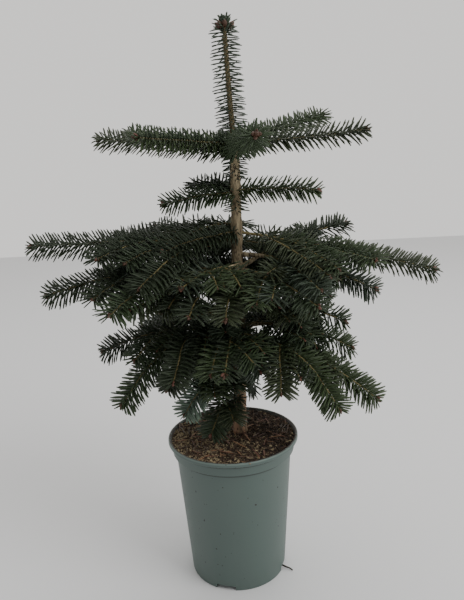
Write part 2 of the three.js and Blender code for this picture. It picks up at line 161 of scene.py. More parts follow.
# The trees of nodes that the finishes and the repeated pieces are made with.
class NodeGraph:
    """Adds nodes to one tree and joins them."""

    def __init__(self, tree: NodeTree) -> None:
        """Takes the tree that the nodes go into."""
        self.tree = tree

    def feed(self, socket: Socket, value: Any) -> None:
        """Links an input to another node's output, or sets it to a constant.

        Args:
            socket: the input.
            value: the output or the constant.
        """
        if isinstance(value, Socket):
            self.tree.links.new(value, socket)
        else:
            socket.default_value = value

    def add(self, kind: str, sockets: dict[str, Any], **settings: Any) -> Node:
        """Adds one node.

        Args:
            kind: Blender's name for the node's type.
            sockets: what feeds each of its inputs, by the input's name.
            settings: the node's own options.

        Returns:
            The new node.
        """
        node = self.tree.nodes.new(kind)
        for option, value in settings.items():
            setattr(node, option, value)
        for name, value in sockets.items():
            self.feed(next(s for s in node.inputs if s.name == name and s.enabled), value)
        return node

    def out(self, node: Node, name: str) -> Socket:
        """The node's output of that name that is in use."""
        return next(s for s in node.outputs if s.name == name and s.enabled)

    def number(self, operation: str, *values: Any) -> Socket:
        """One sum on numbers.

        Args:
            operation: Blender's name for the sum.
            values: the numbers, or the outputs that give them.

        Returns:
            The result.
        """
        node = self.add("ShaderNodeMath", {}, operation=operation)
        for socket, value in zip(node.inputs, values):
            self.feed(socket, value)
        return node.outputs[0]

    def vector(self, operation: str, *values: Any) -> Socket:
        """One sum on vectors.

        Args:
            operation: Blender's name for the sum.
            values: the vectors, or the outputs that give them.

        Returns:
            The result, which is a number for a product or a distance.
        """
        node = self.add("ShaderNodeVectorMath", {}, operation=operation)
        sockets = [node.inputs[0], node.inputs["Scale"]] if operation == "SCALE" else node.inputs
        for socket, value in zip(sockets, values):
            self.feed(socket, value)
        return node.outputs["Value" if operation in ("DOT_PRODUCT", "DISTANCE") else "Vector"]

    def joined(self, x: Any, y: Any, z: Any) -> Socket:
        """The vector with these three parts."""
        return self.add("ShaderNodeCombineXYZ", {"X": x, "Y": y, "Z": z}).outputs[0]

    def leaned(self, first: Socket, second: Socket, angle: Socket) -> Socket:
        """The direction at an angle from the first one towards the second, which is square to it."""
        return self.vector("ADD", self.vector("SCALE", first, self.number("COSINE", angle)),
                           self.vector("SCALE", second, self.number("SINE", angle)))

    def ranged(self, value: Any, start: Any, end: Any, low: Any = 0.0, high: Any = 1.0,
               kind: str = "LINEAR") -> Socket:
        """Moves a value from one range to another and keeps it there.

        Args:
            value: the value.
            start: where the first range starts.
            end: where it ends.
            low: where the second range starts.
            high: where it ends.
            kind: LINEAR, or SMOOTHSTEP for soft ends.

        Returns:
            The value in the second range.
        """
        sockets = {"Value": value, "From Min": start, "From Max": end, "To Min": low, "To Max": high}
        return self.add("ShaderNodeMapRange", sockets, interpolation_type=kind).outputs[0]

    def eased(self, value: Any, *ends: Any) -> Socket:
        """The value moved from one range to another, with soft ends."""
        return self.ranged(value, *ends, kind="SMOOTHSTEP")

    def mixed(self, share: Any, first: Any, second: Any) -> Socket:
        """Mixes two colours.

        Args:
            share: how much of the second there is, from 0 to 1.
            first: one colour, or the output that gives it.
            second: the other.

        Returns:
            The mixed colour.
        """
        node = self.add("ShaderNodeMix", {}, data_type="RGBA")
        for socket, value in zip([s for s in node.inputs if s.enabled], (share, first, second)):
            self.feed(socket, (*value, 1) if isinstance(value, tuple) else value)
        return self.out(node, "Result")


class GrowthTree(NodeGraph):
    """A tree of geometry nodes with named inputs, which turns one object into a plain mesh."""

    def __init__(self, name: str) -> None:
        """Starts a tree that takes a geometry in and gives one back.

        Args:
            name: the tree's name.
        """
        super().__init__(bpy.data.node_groups.new(name, "GeometryNodeTree"))
        for way in ("INPUT", "OUTPUT"):
            self.tree.interface.new_socket("Geometry", in_out=way, socket_type="NodeSocketGeometry")
        self.entry = self.tree.nodes.new("NodeGroupInput")
        self.exit = self.tree.nodes.new("NodeGroupOutput")

    def asks(self, name: str, kind: str, default: Any = None) -> Socket:
        """Adds a named input.

        Args:
            name: what the input is called.
            kind: Float, Int, Object or Material.
            default: its value where none is given.

        Returns:
            The socket inside the tree that the input's value comes from.
        """
        made = self.tree.interface.new_socket(name, in_out="INPUT", socket_type=f"NodeSocket{kind}")
        if default is not None:
            made.default_value = default
        return self.entry.outputs[name]

    def attribute(self, name: str, data_type: str = "FLOAT") -> Socket:
        """The values that the source mesh carries under a name."""
        node = self.add("GeometryNodeInputNamedAttribute", {"Name": name}, data_type=data_type)
        return self.out(node, "Attribute")

    def random(self, low: Any, high: Any, seed: Socket, step: int = 0, kind: str = "FLOAT") -> Socket:
        """Draws a random value for each point.

        Args:
            low: the least that it may be.
            high: the most that it may be.
            seed: the tree's seed.
            step: what is added to the seed, so that no two draws are alike.
            kind: FLOAT, INT or FLOAT_VECTOR.

        Returns:
            The value.
        """
        if step:
            seed = self.number("ADD", seed, float(step))
        sockets = {"Min": low, "Max": high, "Seed": seed}
        return self.out(self.add("FunctionNodeRandomValue", sockets, data_type=kind), "Value")

    def one_of(self, objects: Sequence[Socket]) -> Socket:
        """Makes instances to pick from.

        Args:
            objects: the objects.

        Returns:
            One instance of each.
        """
        join = self.tree.nodes.new("GeometryNodeJoinGeometry")
        for source in objects:
            node = self.add("GeometryNodeObjectInfo", {"Object": source, "As Instance": True})
            self.feed(join.inputs[0], node.outputs["Geometry"])
        return join.outputs[0]

    def shape(self, source: Socket) -> Socket:
        """The geometry of an object."""
        return self.add("GeometryNodeObjectInfo", {"Object": source}).outputs["Geometry"]

    def marked(self, instances: Socket, name: str, value: Socket) -> Socket:
        """The instances with a whole number on each under a name."""
        sockets = {"Geometry": instances, "Name": name, "Value": value}
        return self.add("GeometryNodeStoreNamedAttribute", sockets, domain="INSTANCE",
                        data_type="INT").outputs[0]

    def realized(self, instances: Socket) -> Socket:
        """The instances as plain geometry."""
        return self.add("GeometryNodeRealizeInstances", {"Geometry": instances}).outputs[0]

    def painted(self, geometry: Socket, material: Socket, selection: Any = True) -> Socket:
        """The geometry with a material on the faces that the selection holds for."""
        sockets = {"Geometry": geometry, "Selection": selection, "Material": material}
        return self.add("GeometryNodeSetMaterial", sockets).outputs[0]

    def dealt(self, geometry: Socket, name: str, materials: Sequence[Socket]) -> Socket:
        """Deals materials out by a whole number that the geometry carries.

        Args:
            geometry: what is painted.
            name: what the number is called.
            materials: the material for 0, for 1 and so on.

        Returns:
            The painted geometry.
        """
        for i, material in enumerate(materials):
            sockets = {"A": self.attribute(name, "INT"), "B": i}
            chosen = self.add("FunctionNodeCompare", sockets, data_type="INT", operation="EQUAL")
            geometry = self.painted(geometry, material, chosen.outputs[0])
        return geometry

    def result(self, geometry: Socket) -> None:
        """Makes a geometry the tree's result."""
        self.feed(self.exit.inputs[0], geometry)

    def grow(self, source: Object, name: str, values: dict[str, Any]) -> Object:
        """Runs the tree on an object and keeps the result as a plain mesh.

        Args:
            source: the object that the tree starts from, which is used up.
            name: the new piece's name.
            values: the tree's named inputs.

        Returns:
            The new piece.
        """
        modifier = source.modifiers.new(name, "NODES")
        modifier.node_group = self.tree
        for item in self.tree.interface.items_tree:
            if item.in_out == "INPUT" and item.name in values:
                modifier[item.identifier] = values[item.name]
        mesh = evaluated(source, name)
        source.modifiers.remove(modifier)
        bpy.data.objects.remove(source)
        return new_object(mesh)


# Finishes
@dataclass(frozen=True)
class PlainFinish:
    """One even colour, dealt out to small repeated things such as needles, twigs, buds and chips."""

    name: str
    colour: Colour
    roughness: float
    specular: float = 0.5

    def material(self) -> Material:
        """Builds the material.

        Returns:
            The new material.
        """
        made = bpy.data.materials.new(self.name)
        made.use_nodes = True
        shader = made.node_tree.nodes["Principled BSDF"]
        shader.inputs["Base Color"].default_value = (*self.colour, 1)
        shader.inputs["Roughness"].default_value = self.roughness
        shader.inputs["Specular IOR Level"].default_value = self.specular
        return made


@dataclass(frozen=True)
class Pattern:
    """A noise: how many of its forms there are to a metre, how fine it is, and where it tells.

    The share that it gives grows from 0, where the noise is low, to 1, where it is high.
    """

    scale: float
    detail: float
    low: float = 0.0
    high: float = 1.0


class PatternFinish(NodeGraph):
    """A material whose colour, roughness and bump come from patterns on object coordinates."""

    def __init__(self, name: str) -> None:
        """Starts the material with its shader and the object's coordinates.

        Args:
            name: the material's name.
        """
        self.material = bpy.data.materials.new(name)
        self.material.use_nodes = True
        super().__init__(self.material.node_tree)
        self.shader = self.tree.nodes["Principled BSDF"]
        self.place = self.add("ShaderNodeTexCoord", {}).outputs["Object"]

    def parts(self) -> Iterable[Socket]:
        """The three coordinates, in metres."""
        return self.add("ShaderNodeSeparateXYZ", {"Vector": self.place}).outputs

    def drawn_out(self, scale: float) -> Socket:
        """The coordinates with heights scaled down, which draws a pattern out upwards."""
        return self.add("ShaderNodeMapping", {"Vector": self.place, "Scale": (1, 1, scale)}).outputs[0]

    def clouds(self, pattern: Pattern, place: Socket | None = None) -> Socket:
        """Cloudy noise from 0 to 1."""
        sockets = {"Vector": place or self.place, "Scale": pattern.scale, "Detail": pattern.detail}
        return self.add("ShaderNodeTexNoise", sockets).outputs[0]

    def cells(self, pattern: Pattern, place: Socket) -> Socket:
        """The distance from the middle of scattered cells, where 1 is about a cell."""
        sockets = {"Vector": place, "Scale": pattern.scale}
        return self.add("ShaderNodeTexVoronoi", sockets).outputs["Distance"]

    def share(self, noise_value: Socket, pattern: Pattern) -> Socket:
        """How much a noise tells, from 0 to 1."""
        return self.ranged(noise_value, pattern.low, pattern.high)

    def finish(self, colour: Socket, rough: Pair, grain: Socket, depth: float) -> Material:
        """Joins the patterns to the shader.

        Args:
            colour: the base colour.
            rough: the roughness where the grain is 0 and where it is 1.
            grain: the pattern that drives the roughness and the bump.
            depth: how deep the bump is, in metres.

        Returns:
            The finished material.
        """
        bump = self.add("ShaderNodeBump", {"Height": grain, "Distance": depth, "Strength": 1.0}).outputs[0]
        self.feed(self.shader.inputs["Base Color"], colour)
        self.feed(self.shader.inputs["Roughness"], self.ranged(grain, 0.0, 1.0, *rough))
        self.feed(self.shader.inputs["Normal"], bump)
        return self.material


@dataclass(frozen=True)
class BarkFinish:
    """Young mottled bark with dark flecks, redder at its foot and olive on the last year's leader.

    A band holds the heights, in metres, between which one colour turns into the other.
    """

    name: str
    pale: Colour
    brown: Colour
    dark: Colour
    young: Colour
    foot: Colour
    foot_band: Pair = (0.3, 0.23)
    young_band: Pair = (0.588, 0.598)
    patches: Pattern = Pattern(110, 4, 0.4, 0.6)
    streaks: Pattern = Pattern(420, 5, 0.52, 0.68)
    drawn_out: float = 0.22
    flecks: Pattern = Pattern(230, 0, 0.28, 0.13)
    flecks_drawn_out: float = 0.5
    roughness: Pair = (0.72, 0.92)
    depth: float = 0.0012

    def material(self) -> Material:
        """Builds the material.

        Returns:
            The new material.
        """
        made = PatternFinish(self.name)
        _, _, height = made.parts()
        drawn = made.drawn_out(self.drawn_out)
        streaks, patches = made.clouds(self.streaks, drawn), made.clouds(self.patches, drawn)
        flecks = made.cells(self.flecks, made.drawn_out(self.flecks_drawn_out))
        base = made.mixed(made.ranged(height, *self.foot_band), self.pale, self.foot)
        base = made.mixed(made.share(patches, self.patches), base, self.brown)
        base = made.mixed(made.share(streaks, self.streaks), base, self.dark)
        base = made.mixed(made.share(flecks, self.flecks), base, self.dark)
        olive = made.mixed(streaks, self.young, self.brown)
        base = made.mixed(made.ranged(height, *self.young_band), base, olive)
        return made.finish(base, self.roughness, streaks, self.depth)


@dataclass(frozen=True)
class PotFinish:
    """Satin moulded plastic with crumbs of dirt on it, painted shade in its creases, a painted
    highlight along the top of its lip, and soil on its lip.

    A band holds the heights or the distances, in metres, between which one colour turns into the
    other. The creases are heights, and their band is the distance from them.
    """

    name: str
    colour: Colour
    worn: Colour
    lip_highlight: Colour
    dirt: Colour
    crease_shade: Colour
    soiled: Colour
    # Painted shade: the plastic darkens along these creases.
    creases: Pair = (0.1916, 0.1767)
    crease_band: Pair = (0.0011, 0.00044)
    # Painted highlight: the lip's top edge turns lighter between these heights.
    lip_highlight_band: Pair = (0.1975, 0.1998)
    lip_band: Pair = (0.196, 0.1975)
    inside_band: Pair = (0.0896, 0.0884)
    wear: Pattern = Pattern(14, 3)
    crumbs: Pattern = Pattern(240, 0, 0.815, 0.83)
    soil_patches: Pattern = Pattern(130, 4, 0.3, 0.48)
    grain: Pattern = Pattern(900, 2)
    roughness: Pair = (0.42, 0.58)
    depth: float = 0.00006

    def material(self) -> Material:
        """Builds the material.

        Returns:
            The new material.
        """
        made = PatternFinish(self.name)
        across, along, height = made.parts()
        squares = [made.number("MULTIPLY", part, part) for part in (across, along)]
        radius = made.number("SQRT", made.number("ADD", *squares))
        base = made.mixed(made.clouds(self.wear), self.colour, self.worn)
        # Painted highlight: the top of the lip is lighter.
        base = made.mixed(made.ranged(height, *self.lip_highlight_band), base, self.lip_highlight)
        # Painted shade: a dark line along the crease under the lip and along the step at the foot of the
        # band.
        for crease in self.creases:
            off = made.number("ABSOLUTE", made.number("SUBTRACT", height, crease))
            base = made.mixed(made.ranged(off, *self.crease_band), base, self.crease_shade)
        lip = made.number("MULTIPLY", made.ranged(radius, *self.inside_band),
                          made.ranged(height, *self.lip_band))
        patches = made.share(made.clouds(self.soil_patches), self.soil_patches)
        base = made.mixed(made.number("MULTIPLY", patches, lip), base, self.soiled)
        base = made.mixed(made.share(made.clouds(self.crumbs), self.crumbs), base, self.dirt)
        return made.finish(base, self.roughness, made.clouds(self.grain), self.depth)


@dataclass(frozen=True)
class CompostFinish:
    """Dark fine compost that the bark chips lie in."""

    name: str
    dark: Colour
    light: Colour
    crumbs: Pattern = Pattern(650, 6, 0.38, 0.66)
    roughness: Pair = (0.85, 1.0)
    depth: float = 0.002

    def material(self) -> Material:
        """Builds the material.

        Returns:
            The new material.
        """
        made = PatternFinish(self.name)
        crumbs = made.clouds(self.crumbs)
        base = made.mixed(made.share(crumbs, self.crumbs), self.dark, self.light)
        return made.finish(base, self.roughness, crumbs, self.depth)


@dataclass(frozen=True)
class FloorFinish:
    """A pale, plain floor."""

    name: str
    colour: Colour
    shade: Colour = (0.6, 0.6, 0.6)
    most_shade: float = 0.03
    grain: Pattern = Pattern(40, 2)
    roughness: Pair = (0.8, 0.9)
    depth: float = 0.00002

    def material(self) -> Material:
        """Builds the material.

        Returns:
            The new material.
        """
        made = PatternFinish(self.name)
        grain = made.clouds(self.grain)
        base = made.mixed(made.number("MULTIPLY", grain, self.most_shade), self.colour, self.shade)
        return made.finish(base, self.roughness, grain, self.depth)


# How the tree grows: the same rule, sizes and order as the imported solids, in millimetres.
class SeededRandom:
    """A mulberry32 generator: the same numbers from 0 to 1 on every run."""

    WORD = 0xFFFFFFFF
    STEP = 0x6D2B79F5

    def __init__(self, seed: int) -> None:
        """Starts from a seed."""
        self.state = seed & self.WORD

    def __call__(self) -> float:
        """The next number.

        Returns:
            A number from 0 to 1.
        """
        self.state = (self.state + self.STEP) & self.WORD
        t = ((self.state ^ (self.state >> 15)) * (self.state | 1)) & self.WORD
        t ^= (t + (((t ^ (t >> 7)) * (t | 61)) & self.WORD)) & self.WORD
        return (t ^ (t >> 14)) / (self.WORD + 1)

    def around(self, middle: float, width: float) -> float:
        """A number within width of middle."""
        return middle + (self() * 2 - 1) * width


@dataclass(frozen=True)
class Axis:
    """The bowed line that a branch or shoot follows."""

    root: np.ndarray
    bow: np.ndarray
    tip: np.ndarray

    def point(self, share: float) -> np.ndarray:
        """The point at a share of the way from root to tip."""
        rest = 1 - share
        return rest * rest * self.root + 2 * rest * share * self.bow + share * share * self.tip

    def tangent(self, share: float) -> np.ndarray:
        """The direction at a share of the way."""
        nudge = 1e-4
        return unit(self.point(min(1.0, share + nudge)) - self.point(max(0.0, share - nudge)))

    def span(self) -> float:
        """How far it is from root straight to tip."""
        return float(np.linalg.norm(self.tip - self.root))

    def points(self, start: float, step: float) -> Points:
        """Points from a share of the way to the tip, about a step apart."""
        steps = max(2, nearest_whole(self.span() * (1 - start) / step))
        return [self.point(share) for share in stepped(start, 1.0, steps)]


@dataclass(frozen=True)
class Tier:
    """One tier of branches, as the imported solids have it.

    Each branch is (height on the trunk, bearing, reach, rise of its tip). years is how long they have
    grown, arch how high they bow as a share of the reach, bare the share that is a bough with no
    needles, thickness the radius where the needles start, and droop how far side shoots fall as a
    share of their length, with how much that varies.
    """

    name: str
    years: int
    arch: float
    bare: float
    thickness: float
    droop: Pair
    branches: tuple[tuple[float, float, float, float], ...]


TIERS = (
    Tier("top", 1, 0.0, 0.0, 2.2, (0.12, 0.1), (
        (587, 349, 162, 9), (590, 36, 160, 40), (584, 92, 148, 26), (588, 148, 172, 27),
        (581, 176, 172, 22), (589, 213, 134, 7), (584, 281, 108, 7),
    )),
    Tier("between", 1, 0.03, 0.0, 2.0, (0.12, 0.1), (
        (531, 349, 104, -5), (529, 192, 94, -11), (534, 138, 76, 6), (478, 217, 112, -14),
        (312, 68, 42, -70),
    )),
    Tier("upper", 3, 0.01, 0.0, 2.8, (0.2, 0.15), (
        (478, 353, 252, -56), (466, 80, 170, -28), (488, 142, 148, -6), (480, 156, 187, -7),
        (467, 187, 260, 7),
    )),
    Tier("middle", 3, 0.06, 0.2, 3.4, (0.25, 0.15), (
        (428, 15, 158, 50), (448, 338, 178, -42), (418, 95, 205, -16), (424, 196, 242, -6),
        (432, 236, 120, -6), (428, 303, 155, -26), (408, 210, 153, -11), (399, 62, 180, -8),
    )),
    Tier("lower", 3, 0.1, 0.2, 3.8, (0.25, 0.2), (
        (371, 345, 140, -12), (340, 46, 166, -20), (350, 134, 185, -18), (338, 186, 182, -9),
        (353, 259, 118, -30), (332, 336, 184, -64), (350, 355, 150, -34),
    )),
    Tier("lowest", 3, 0.28, 0.0, 2.6, (0.4, 0.2), (
        (326, 206, 168, -52), (385, 260, 100, 0), (312, 318, 155, -44), (290, 97, 140, -36),
        (270, 212, 88, -24), (246, 232, 66, -28), (346, 219, 120, -52),
    )),
)


@dataclass(frozen=True)
class TrunkLine:
    """The trunk from the flat cut at the soil to the top bud, as rows of (height, x, radius)."""

    rows: tuple[Triple, ...] = (
        (197.7, 10.8, 10.6), (203, 10.8, 9.7), (213, 11.2, 9), (245, 12.2, 8.6), (345, 15.2, 7.7),
        (450, 17.2, 6.9), (530, 18.9, 6.5), (583, 19.5, 6.2), (598, 18.6, 3.1), (665, 15.6, 2.6),
        (711, 14.2, 2.4), (733, 14.2, 1),
    )
    y: float = 9

    def row(self, height: float) -> Pair:
        """Reads the trunk's line at a height, with straight lines between the rows.

        Args:
            height: the height.

        Returns:
            The trunk's x and radius there.
        """
        over = next((i for i, row in enumerate(self.rows) if row[0] >= height), len(self.rows) - 1)
        below, above = self.rows[max(1, over) - 1], self.rows[max(1, over)]
        share = (height - below[0]) / (above[0] - below[0])
        return lerp(below[1], above[1], share), lerp(below[2], above[2], share)

    def point(self, height: float) -> np.ndarray:
        """The middle of the trunk at a height."""
        return np.array([self.row(height)[0], self.y, height], float)


@dataclass
class Shoot:
    """One limb or shoot: what it follows, how thick it is and what it belongs to."""

    name: str
    mass: str
    tier: Tier
    axis: Axis
    start: float
    years: int
    thickness: float
    order: int


class ClaimedSpace:
    """Every limb and shoot as straight lines with a radius, so that a new one can keep clear."""

    def __init__(self) -> None:
        """Starts empty."""
        self.lines: list[tuple[str, np.ndarray, np.ndarray, float]] = []

    def claim(self, owner: str, centres: Points, radius: float) -> None:
        """Adds the lines between a limb's centres, from root to tip."""
        self.lines += [(owner, here, there - here, radius) for here, there in zip(centres, centres[1:])]

    def room_at(self, points: Points, besides: str) -> float:
        """The smallest gap from any of some points to a limb.

        Args:
            points: the places to test.
            besides: the owner whose lines don't count.

        Returns:
            The gap to the nearest surface, in millimetres.
        """
        counted = [line[1:] for line in self.lines if line[0] != besides]
        starts, alongs, radii = (np.array(column) for column in zip(*counted))
        offsets = np.array(points)[:, None, :] - starts[None]
        shares = np.clip((offsets * alongs).sum(2) / (alongs * alongs).sum(1), 0, 1)
        apart = np.linalg.norm(offsets - shares[..., None] * alongs, axis=2)
        return float((apart - radii).min())


@dataclass
class Growth:
    """Grows the tree: first the shared branches and shoots, then the finer ones between them.

    Lengths are in millimetres and angles in degrees. Most pairs are a middle value and how far a draw
    may lie from it. A fork's share is a side shoot's length as a share of what is left of its parent.
    Fine shoots start fine_from half years along a shoot that is at least fine_years old and
    fine_parent long, and each takes the first of fine_lengths, as shares of its full length, at which
    it stays fine_room clear.
    """

    trunk: TrunkLine = field(default_factory=TrunkLine)
    first_seed: int = 100
    clearance: float = 0.3
    step: float = 15
    tuft: float = 9
    room: float = 7
    bough_steps: int = 3
    fork_angle: Pair = (50, 7)
    fork_share: Pair = (0.74, 0.12)
    year_power: float = 2
    shortest: float = 28
    side_thickness: float = 0.75
    fine_seed: int = 900
    fine_room: float = 4.5
    fine_shortest: float = 16
    fine_years: int = 2
    fine_from: int = 2
    fine_parent: float = 90
    fine_lengths: tuple[float, ...] = (0.75, 0.55, 0.38)
    fine_lift: Pair = (-0.22, 0.25)

    def __post_init__(self) -> None:
        """Starts with nothing grown."""
        self.space = ClaimedSpace()
        self.boughs: list[Shoot] = []
        self.shoots: list[Shoot] = []

    def branch_axis(self, tier: Tier, branch: tuple[float, float, float, float]) -> Axis:
        """A branch's axis from the trunk's centre line to its tip, bowed upwards by its arch.

        Args:
            tier: the branch's tier.
            branch: one of the tier's branches.

        Returns:
            The branch's axis.
        """
        height, bearing, reach, rise = branch
        root = self.trunk.point(height)
        tip = root + outward(bearing) * reach + UP * rise
        return Axis(root, (root + tip) / 2 + UP * (2 * tier.arch * reach), tip)

    def side_axis(self, shoot: Shoot, share: float, side: int, length: float, angle: float,
                  droop: float) -> Axis:
        """A side shoot that leaves a shoot in the plane of the branch.

        Args:
            shoot: the shoot that it leaves.
            share: where it leaves, as a share of the way.
            side: -1 or 1, for the side that it grows to.
            length: how long it is.
            angle: how far it turns off, in degrees.
            droop: how far its tip falls, as a share of its length.

        Returns:
            The side shoot's axis.
        """
        root, tangent = shoot.axis.point(share), shoot.axis.tangent(share)
        across = unit(np.cross(tangent, UP)) * side
        turn = math.radians(angle)
        heading = tangent * math.cos(turn) + across * math.sin(turn)
        return Axis(root, root + heading * length / 2, root + heading * length - UP * droop * length)

    def gap(self, parent: Shoot, axis: Axis, length: float) -> float:
        """How far a new side shoot would stay from every limb but its parent."""
        return self.space.room_at(axis.points(self.room / length, self.room / 2), parent.name)

    def add_shoot(self, parent: Shoot, axis: Axis, start: float, years: int, thickness: float) -> Shoot:
        """Adds a shoot to the parent's mass and claims its space.

        Args:
            parent: the shoot that it leaves, whose mass and tier it shares.
            axis: what it follows.
            start: the share of the axis where its needles start.
            years: how long it has grown.
            thickness: its radius at its root.

        Returns:
            The new shoot.
        """
        count = sum(shoot.mass == parent.mass for shoot in self.shoots)
        made = Shoot(f"{parent.mass} {count}", parent.mass, parent.tier, axis, start, years,
                     thickness, parent.order + 1)
        centres = axis.points(start, self.step)
        centres.append(centres[-1] + axis.tangent(1.0) * self.tuft)
        self.space.claim(made.name, centres, thickness / 2)
        self.shoots.append(made)
        return made

    def add_side_shoots(self, shoot: Shoot, random: SeededRandom) -> None:
        """Adds a shoot's side shoots, and theirs. One that comes near to another limb is skipped.

        Args:
            shoot: the shoot that they leave.
            random: what varies them.
        """
        for year in range(1, shoot.years):
            share = lerp(shoot.start, 1.0, (year / shoot.years) ** self.year_power)
            for side in (-1, 1):
                length = random.around(*self.fork_share) * (1 - share) * shoot.axis.span()
                angle, droop = random.around(*self.fork_angle), random.around(*shoot.tier.droop)
                axis = self.side_axis(shoot, share, side, length, angle, droop)
                if length < self.shortest or self.gap(shoot, axis, length) < self.room:
                    continue
                made = self.add_shoot(shoot, axis, 0.0, shoot.years - year,
                                      shoot.thickness * self.side_thickness)
                self.add_side_shoots(made, random)

    def add_fine_shoots(self, shoot: Shoot, random: SeededRandom) -> None:
        """Adds finer shoots where a year ends and half-way between, but none on this year's growth.

        Args:
            shoot: the shoot that they leave.
            random: what varies them.
        """
        if shoot.years < self.fine_years or shoot.axis.span() < self.fine_parent:
            return
        for half in range(self.fine_from, 2 * shoot.years - 1):
            share = lerp(shoot.start, 1.0, (half / 2 / shoot.years) ** self.year_power)
            for side in (-1, 1):
                full = random.around(*self.fork_share) * (1 - share) * shoot.axis.span()
                angle, lift = random.around(*self.fork_angle), random.around(*self.fine_lift)
                for part in self.fine_lengths:
                    length = full * part
                    if length < self.fine_shortest:
                        break
                    axis = self.side_axis(shoot, share, side, length, angle, -lift)
                    if self.gap(shoot, axis, length) >= self.fine_room:
                        self.add_shoot(shoot, axis, 0.0, 1, shoot.thickness * self.side_thickness)
                        break

    def run(self) -> None:
        """Grows everything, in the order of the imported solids."""
        rows = self.trunk.rows
        for below, above in zip(rows, rows[1:]):
            ends = [self.trunk.point(below[0]), self.trunk.point(above[0])]
            self.space.claim("trunk", ends, above[2])
        mains = []
        for tier in TIERS:
            for number, branch in enumerate(tier.branches, 1):
                axis = self.branch_axis(tier, branch)
                mass = f"{tier.name}_needles_{number}"
                bough = Shoot(f"{tier.name}_bough_{number}", mass, tier, axis, 0.0, tier.years,
                              tier.thickness, -1)
                start = 0.0
                if tier.bare > 0:
                    centres = [axis.point(share) for share in stepped(0.0, tier.bare, self.bough_steps)]
                    self.space.claim(bough.name, centres, tier.thickness)
                    self.boughs.append(bough)
                    start = tier.bare + self.clearance / axis.span()
                mains.append(self.add_shoot(bough, axis, start, tier.years, tier.thickness))
        for number, main in enumerate(mains):
            self.add_side_shoots(main, SeededRandom(self.first_seed + number))
        shared = list(self.shoots)
        for number, shoot in enumerate(shared):
            self.add_fine_shoots(shoot, SeededRandom(self.fine_seed + number))
        LOG.info("%d shared shoots and %d finer ones", len(shared), len(self.shoots) - len(shared))


def mesh_of(name: str, points: Points, faces: Sequence = (), edges: Sequence = ()) -> Mesh:
    """Makes a mesh from points in millimetres.

    Args:
        name: the mesh's name.
        points: its vertices, in millimetres.
        faces: its faces, as rows of indices.
        edges: its loose edges, as pairs of indices.

    Returns:
        The mesh, in metres.
    """
    mesh = bpy.data.meshes.new(name)
    mesh.from_pydata([tuple(float(value) * MM for value in point) for point in points], edges, faces)
    return mesh


def carry(mesh: Mesh, name: str, kind: str, values: Sequence) -> None:
    """Stores a value for each vertex under a name.

    Args:
        mesh: the mesh that carries them.
        name: the attribute's name.
        kind: FLOAT, INT or FLOAT_VECTOR.
        values: one value for each vertex.
    """
    made = mesh.attributes.new(name, kind, "POINT")
    key = "vector" if kind == "FLOAT_VECTOR" else "value"
    made.data.foreach_set(key, np.array(values, np.float32 if kind != "INT" else np.int32).ravel())


def rings(counts: int, sides: int) -> Faces:
    """The faces of a closed tube.

    Args:
        counts: how many rings of vertices it has, one after the other.
        sides: how many vertices each ring has.

    Returns:
        The four-sided faces between the rings and a face at each end.
    """
    faces = [
        (ring * sides + i, ring * sides + (i + 1) % sides,
         (ring + 1) * sides + (i + 1) % sides, (ring + 1) * sides + i)
        for ring in range(counts - 1) for i in range(sides)
    ]
    last = (counts - 1) * sides
    return [tuple(reversed(range(sides))), *faces, tuple(range(last, last + sides))]


def shade_smooth(mesh: Mesh) -> None:
    """Shades every face of a mesh smooth."""
    mesh.polygons.foreach_set("use_smooth", [True] * len(mesh.polygons))


def dressed(mesh: Mesh, material: Material) -> Object:
    """Makes a smooth piece of one material.

    Args:
        mesh: its mesh, which it has its name from.
        material: its material.

    Returns:
        The piece.
    """
    mesh.materials.clear()
    mesh.materials.append(material)
    shade_smooth(mesh)
    return new_object(mesh)


def template(name: str, points: Points, faces: Sequence) -> Object:
    """Makes a shape that geometry nodes repeat, kept out of the scene.

    Args:
        name: its name.
        points: its vertices, in metres or in units of its own.
        faces: its faces, as rows of indices.

    Returns:
        The shape.
    """
    mesh = bpy.data.meshes.new(name)
    mesh.from_pydata([tuple(point) for point in points], [], faces)
    return bpy.data.objects.new(name, mesh)


def tube(centres: Points, radii: Sequence[float], sides: int,
         relief: Callable[[np.ndarray, float], float] | None = None) -> tuple[Points, Faces]:
    """Makes a closed tube.

    Args:
        centres: the middle of each ring, in millimetres.
        radii: the radius of each ring.
        sides: how many vertices a ring has.
        relief: how far the surface stands out at a place where the tube has some radius.

    Returns:
        Its points and its faces.
    """
    points, upright = [], 0.99
    for i, (centre, radius) in enumerate(zip(centres, radii)):
        tangent = unit(centres[min(i + 1, len(centres) - 1)] - centres[max(i - 1, 0)])
        side = unit(np.cross(tangent, UP) if abs(tangent[2]) < upright else np.array([1.0, 0, 0]))
        over = np.cross(side, tangent)
        for k in range(sides):
            angle = WHOLE_TURN * k / sides
            out = side * math.cos(angle) + over * math.sin(angle)
            point = centre + out * radius
            points.append(point + out * relief(point, radius) if relief else point)
    return points, rings(len(centres), sides)


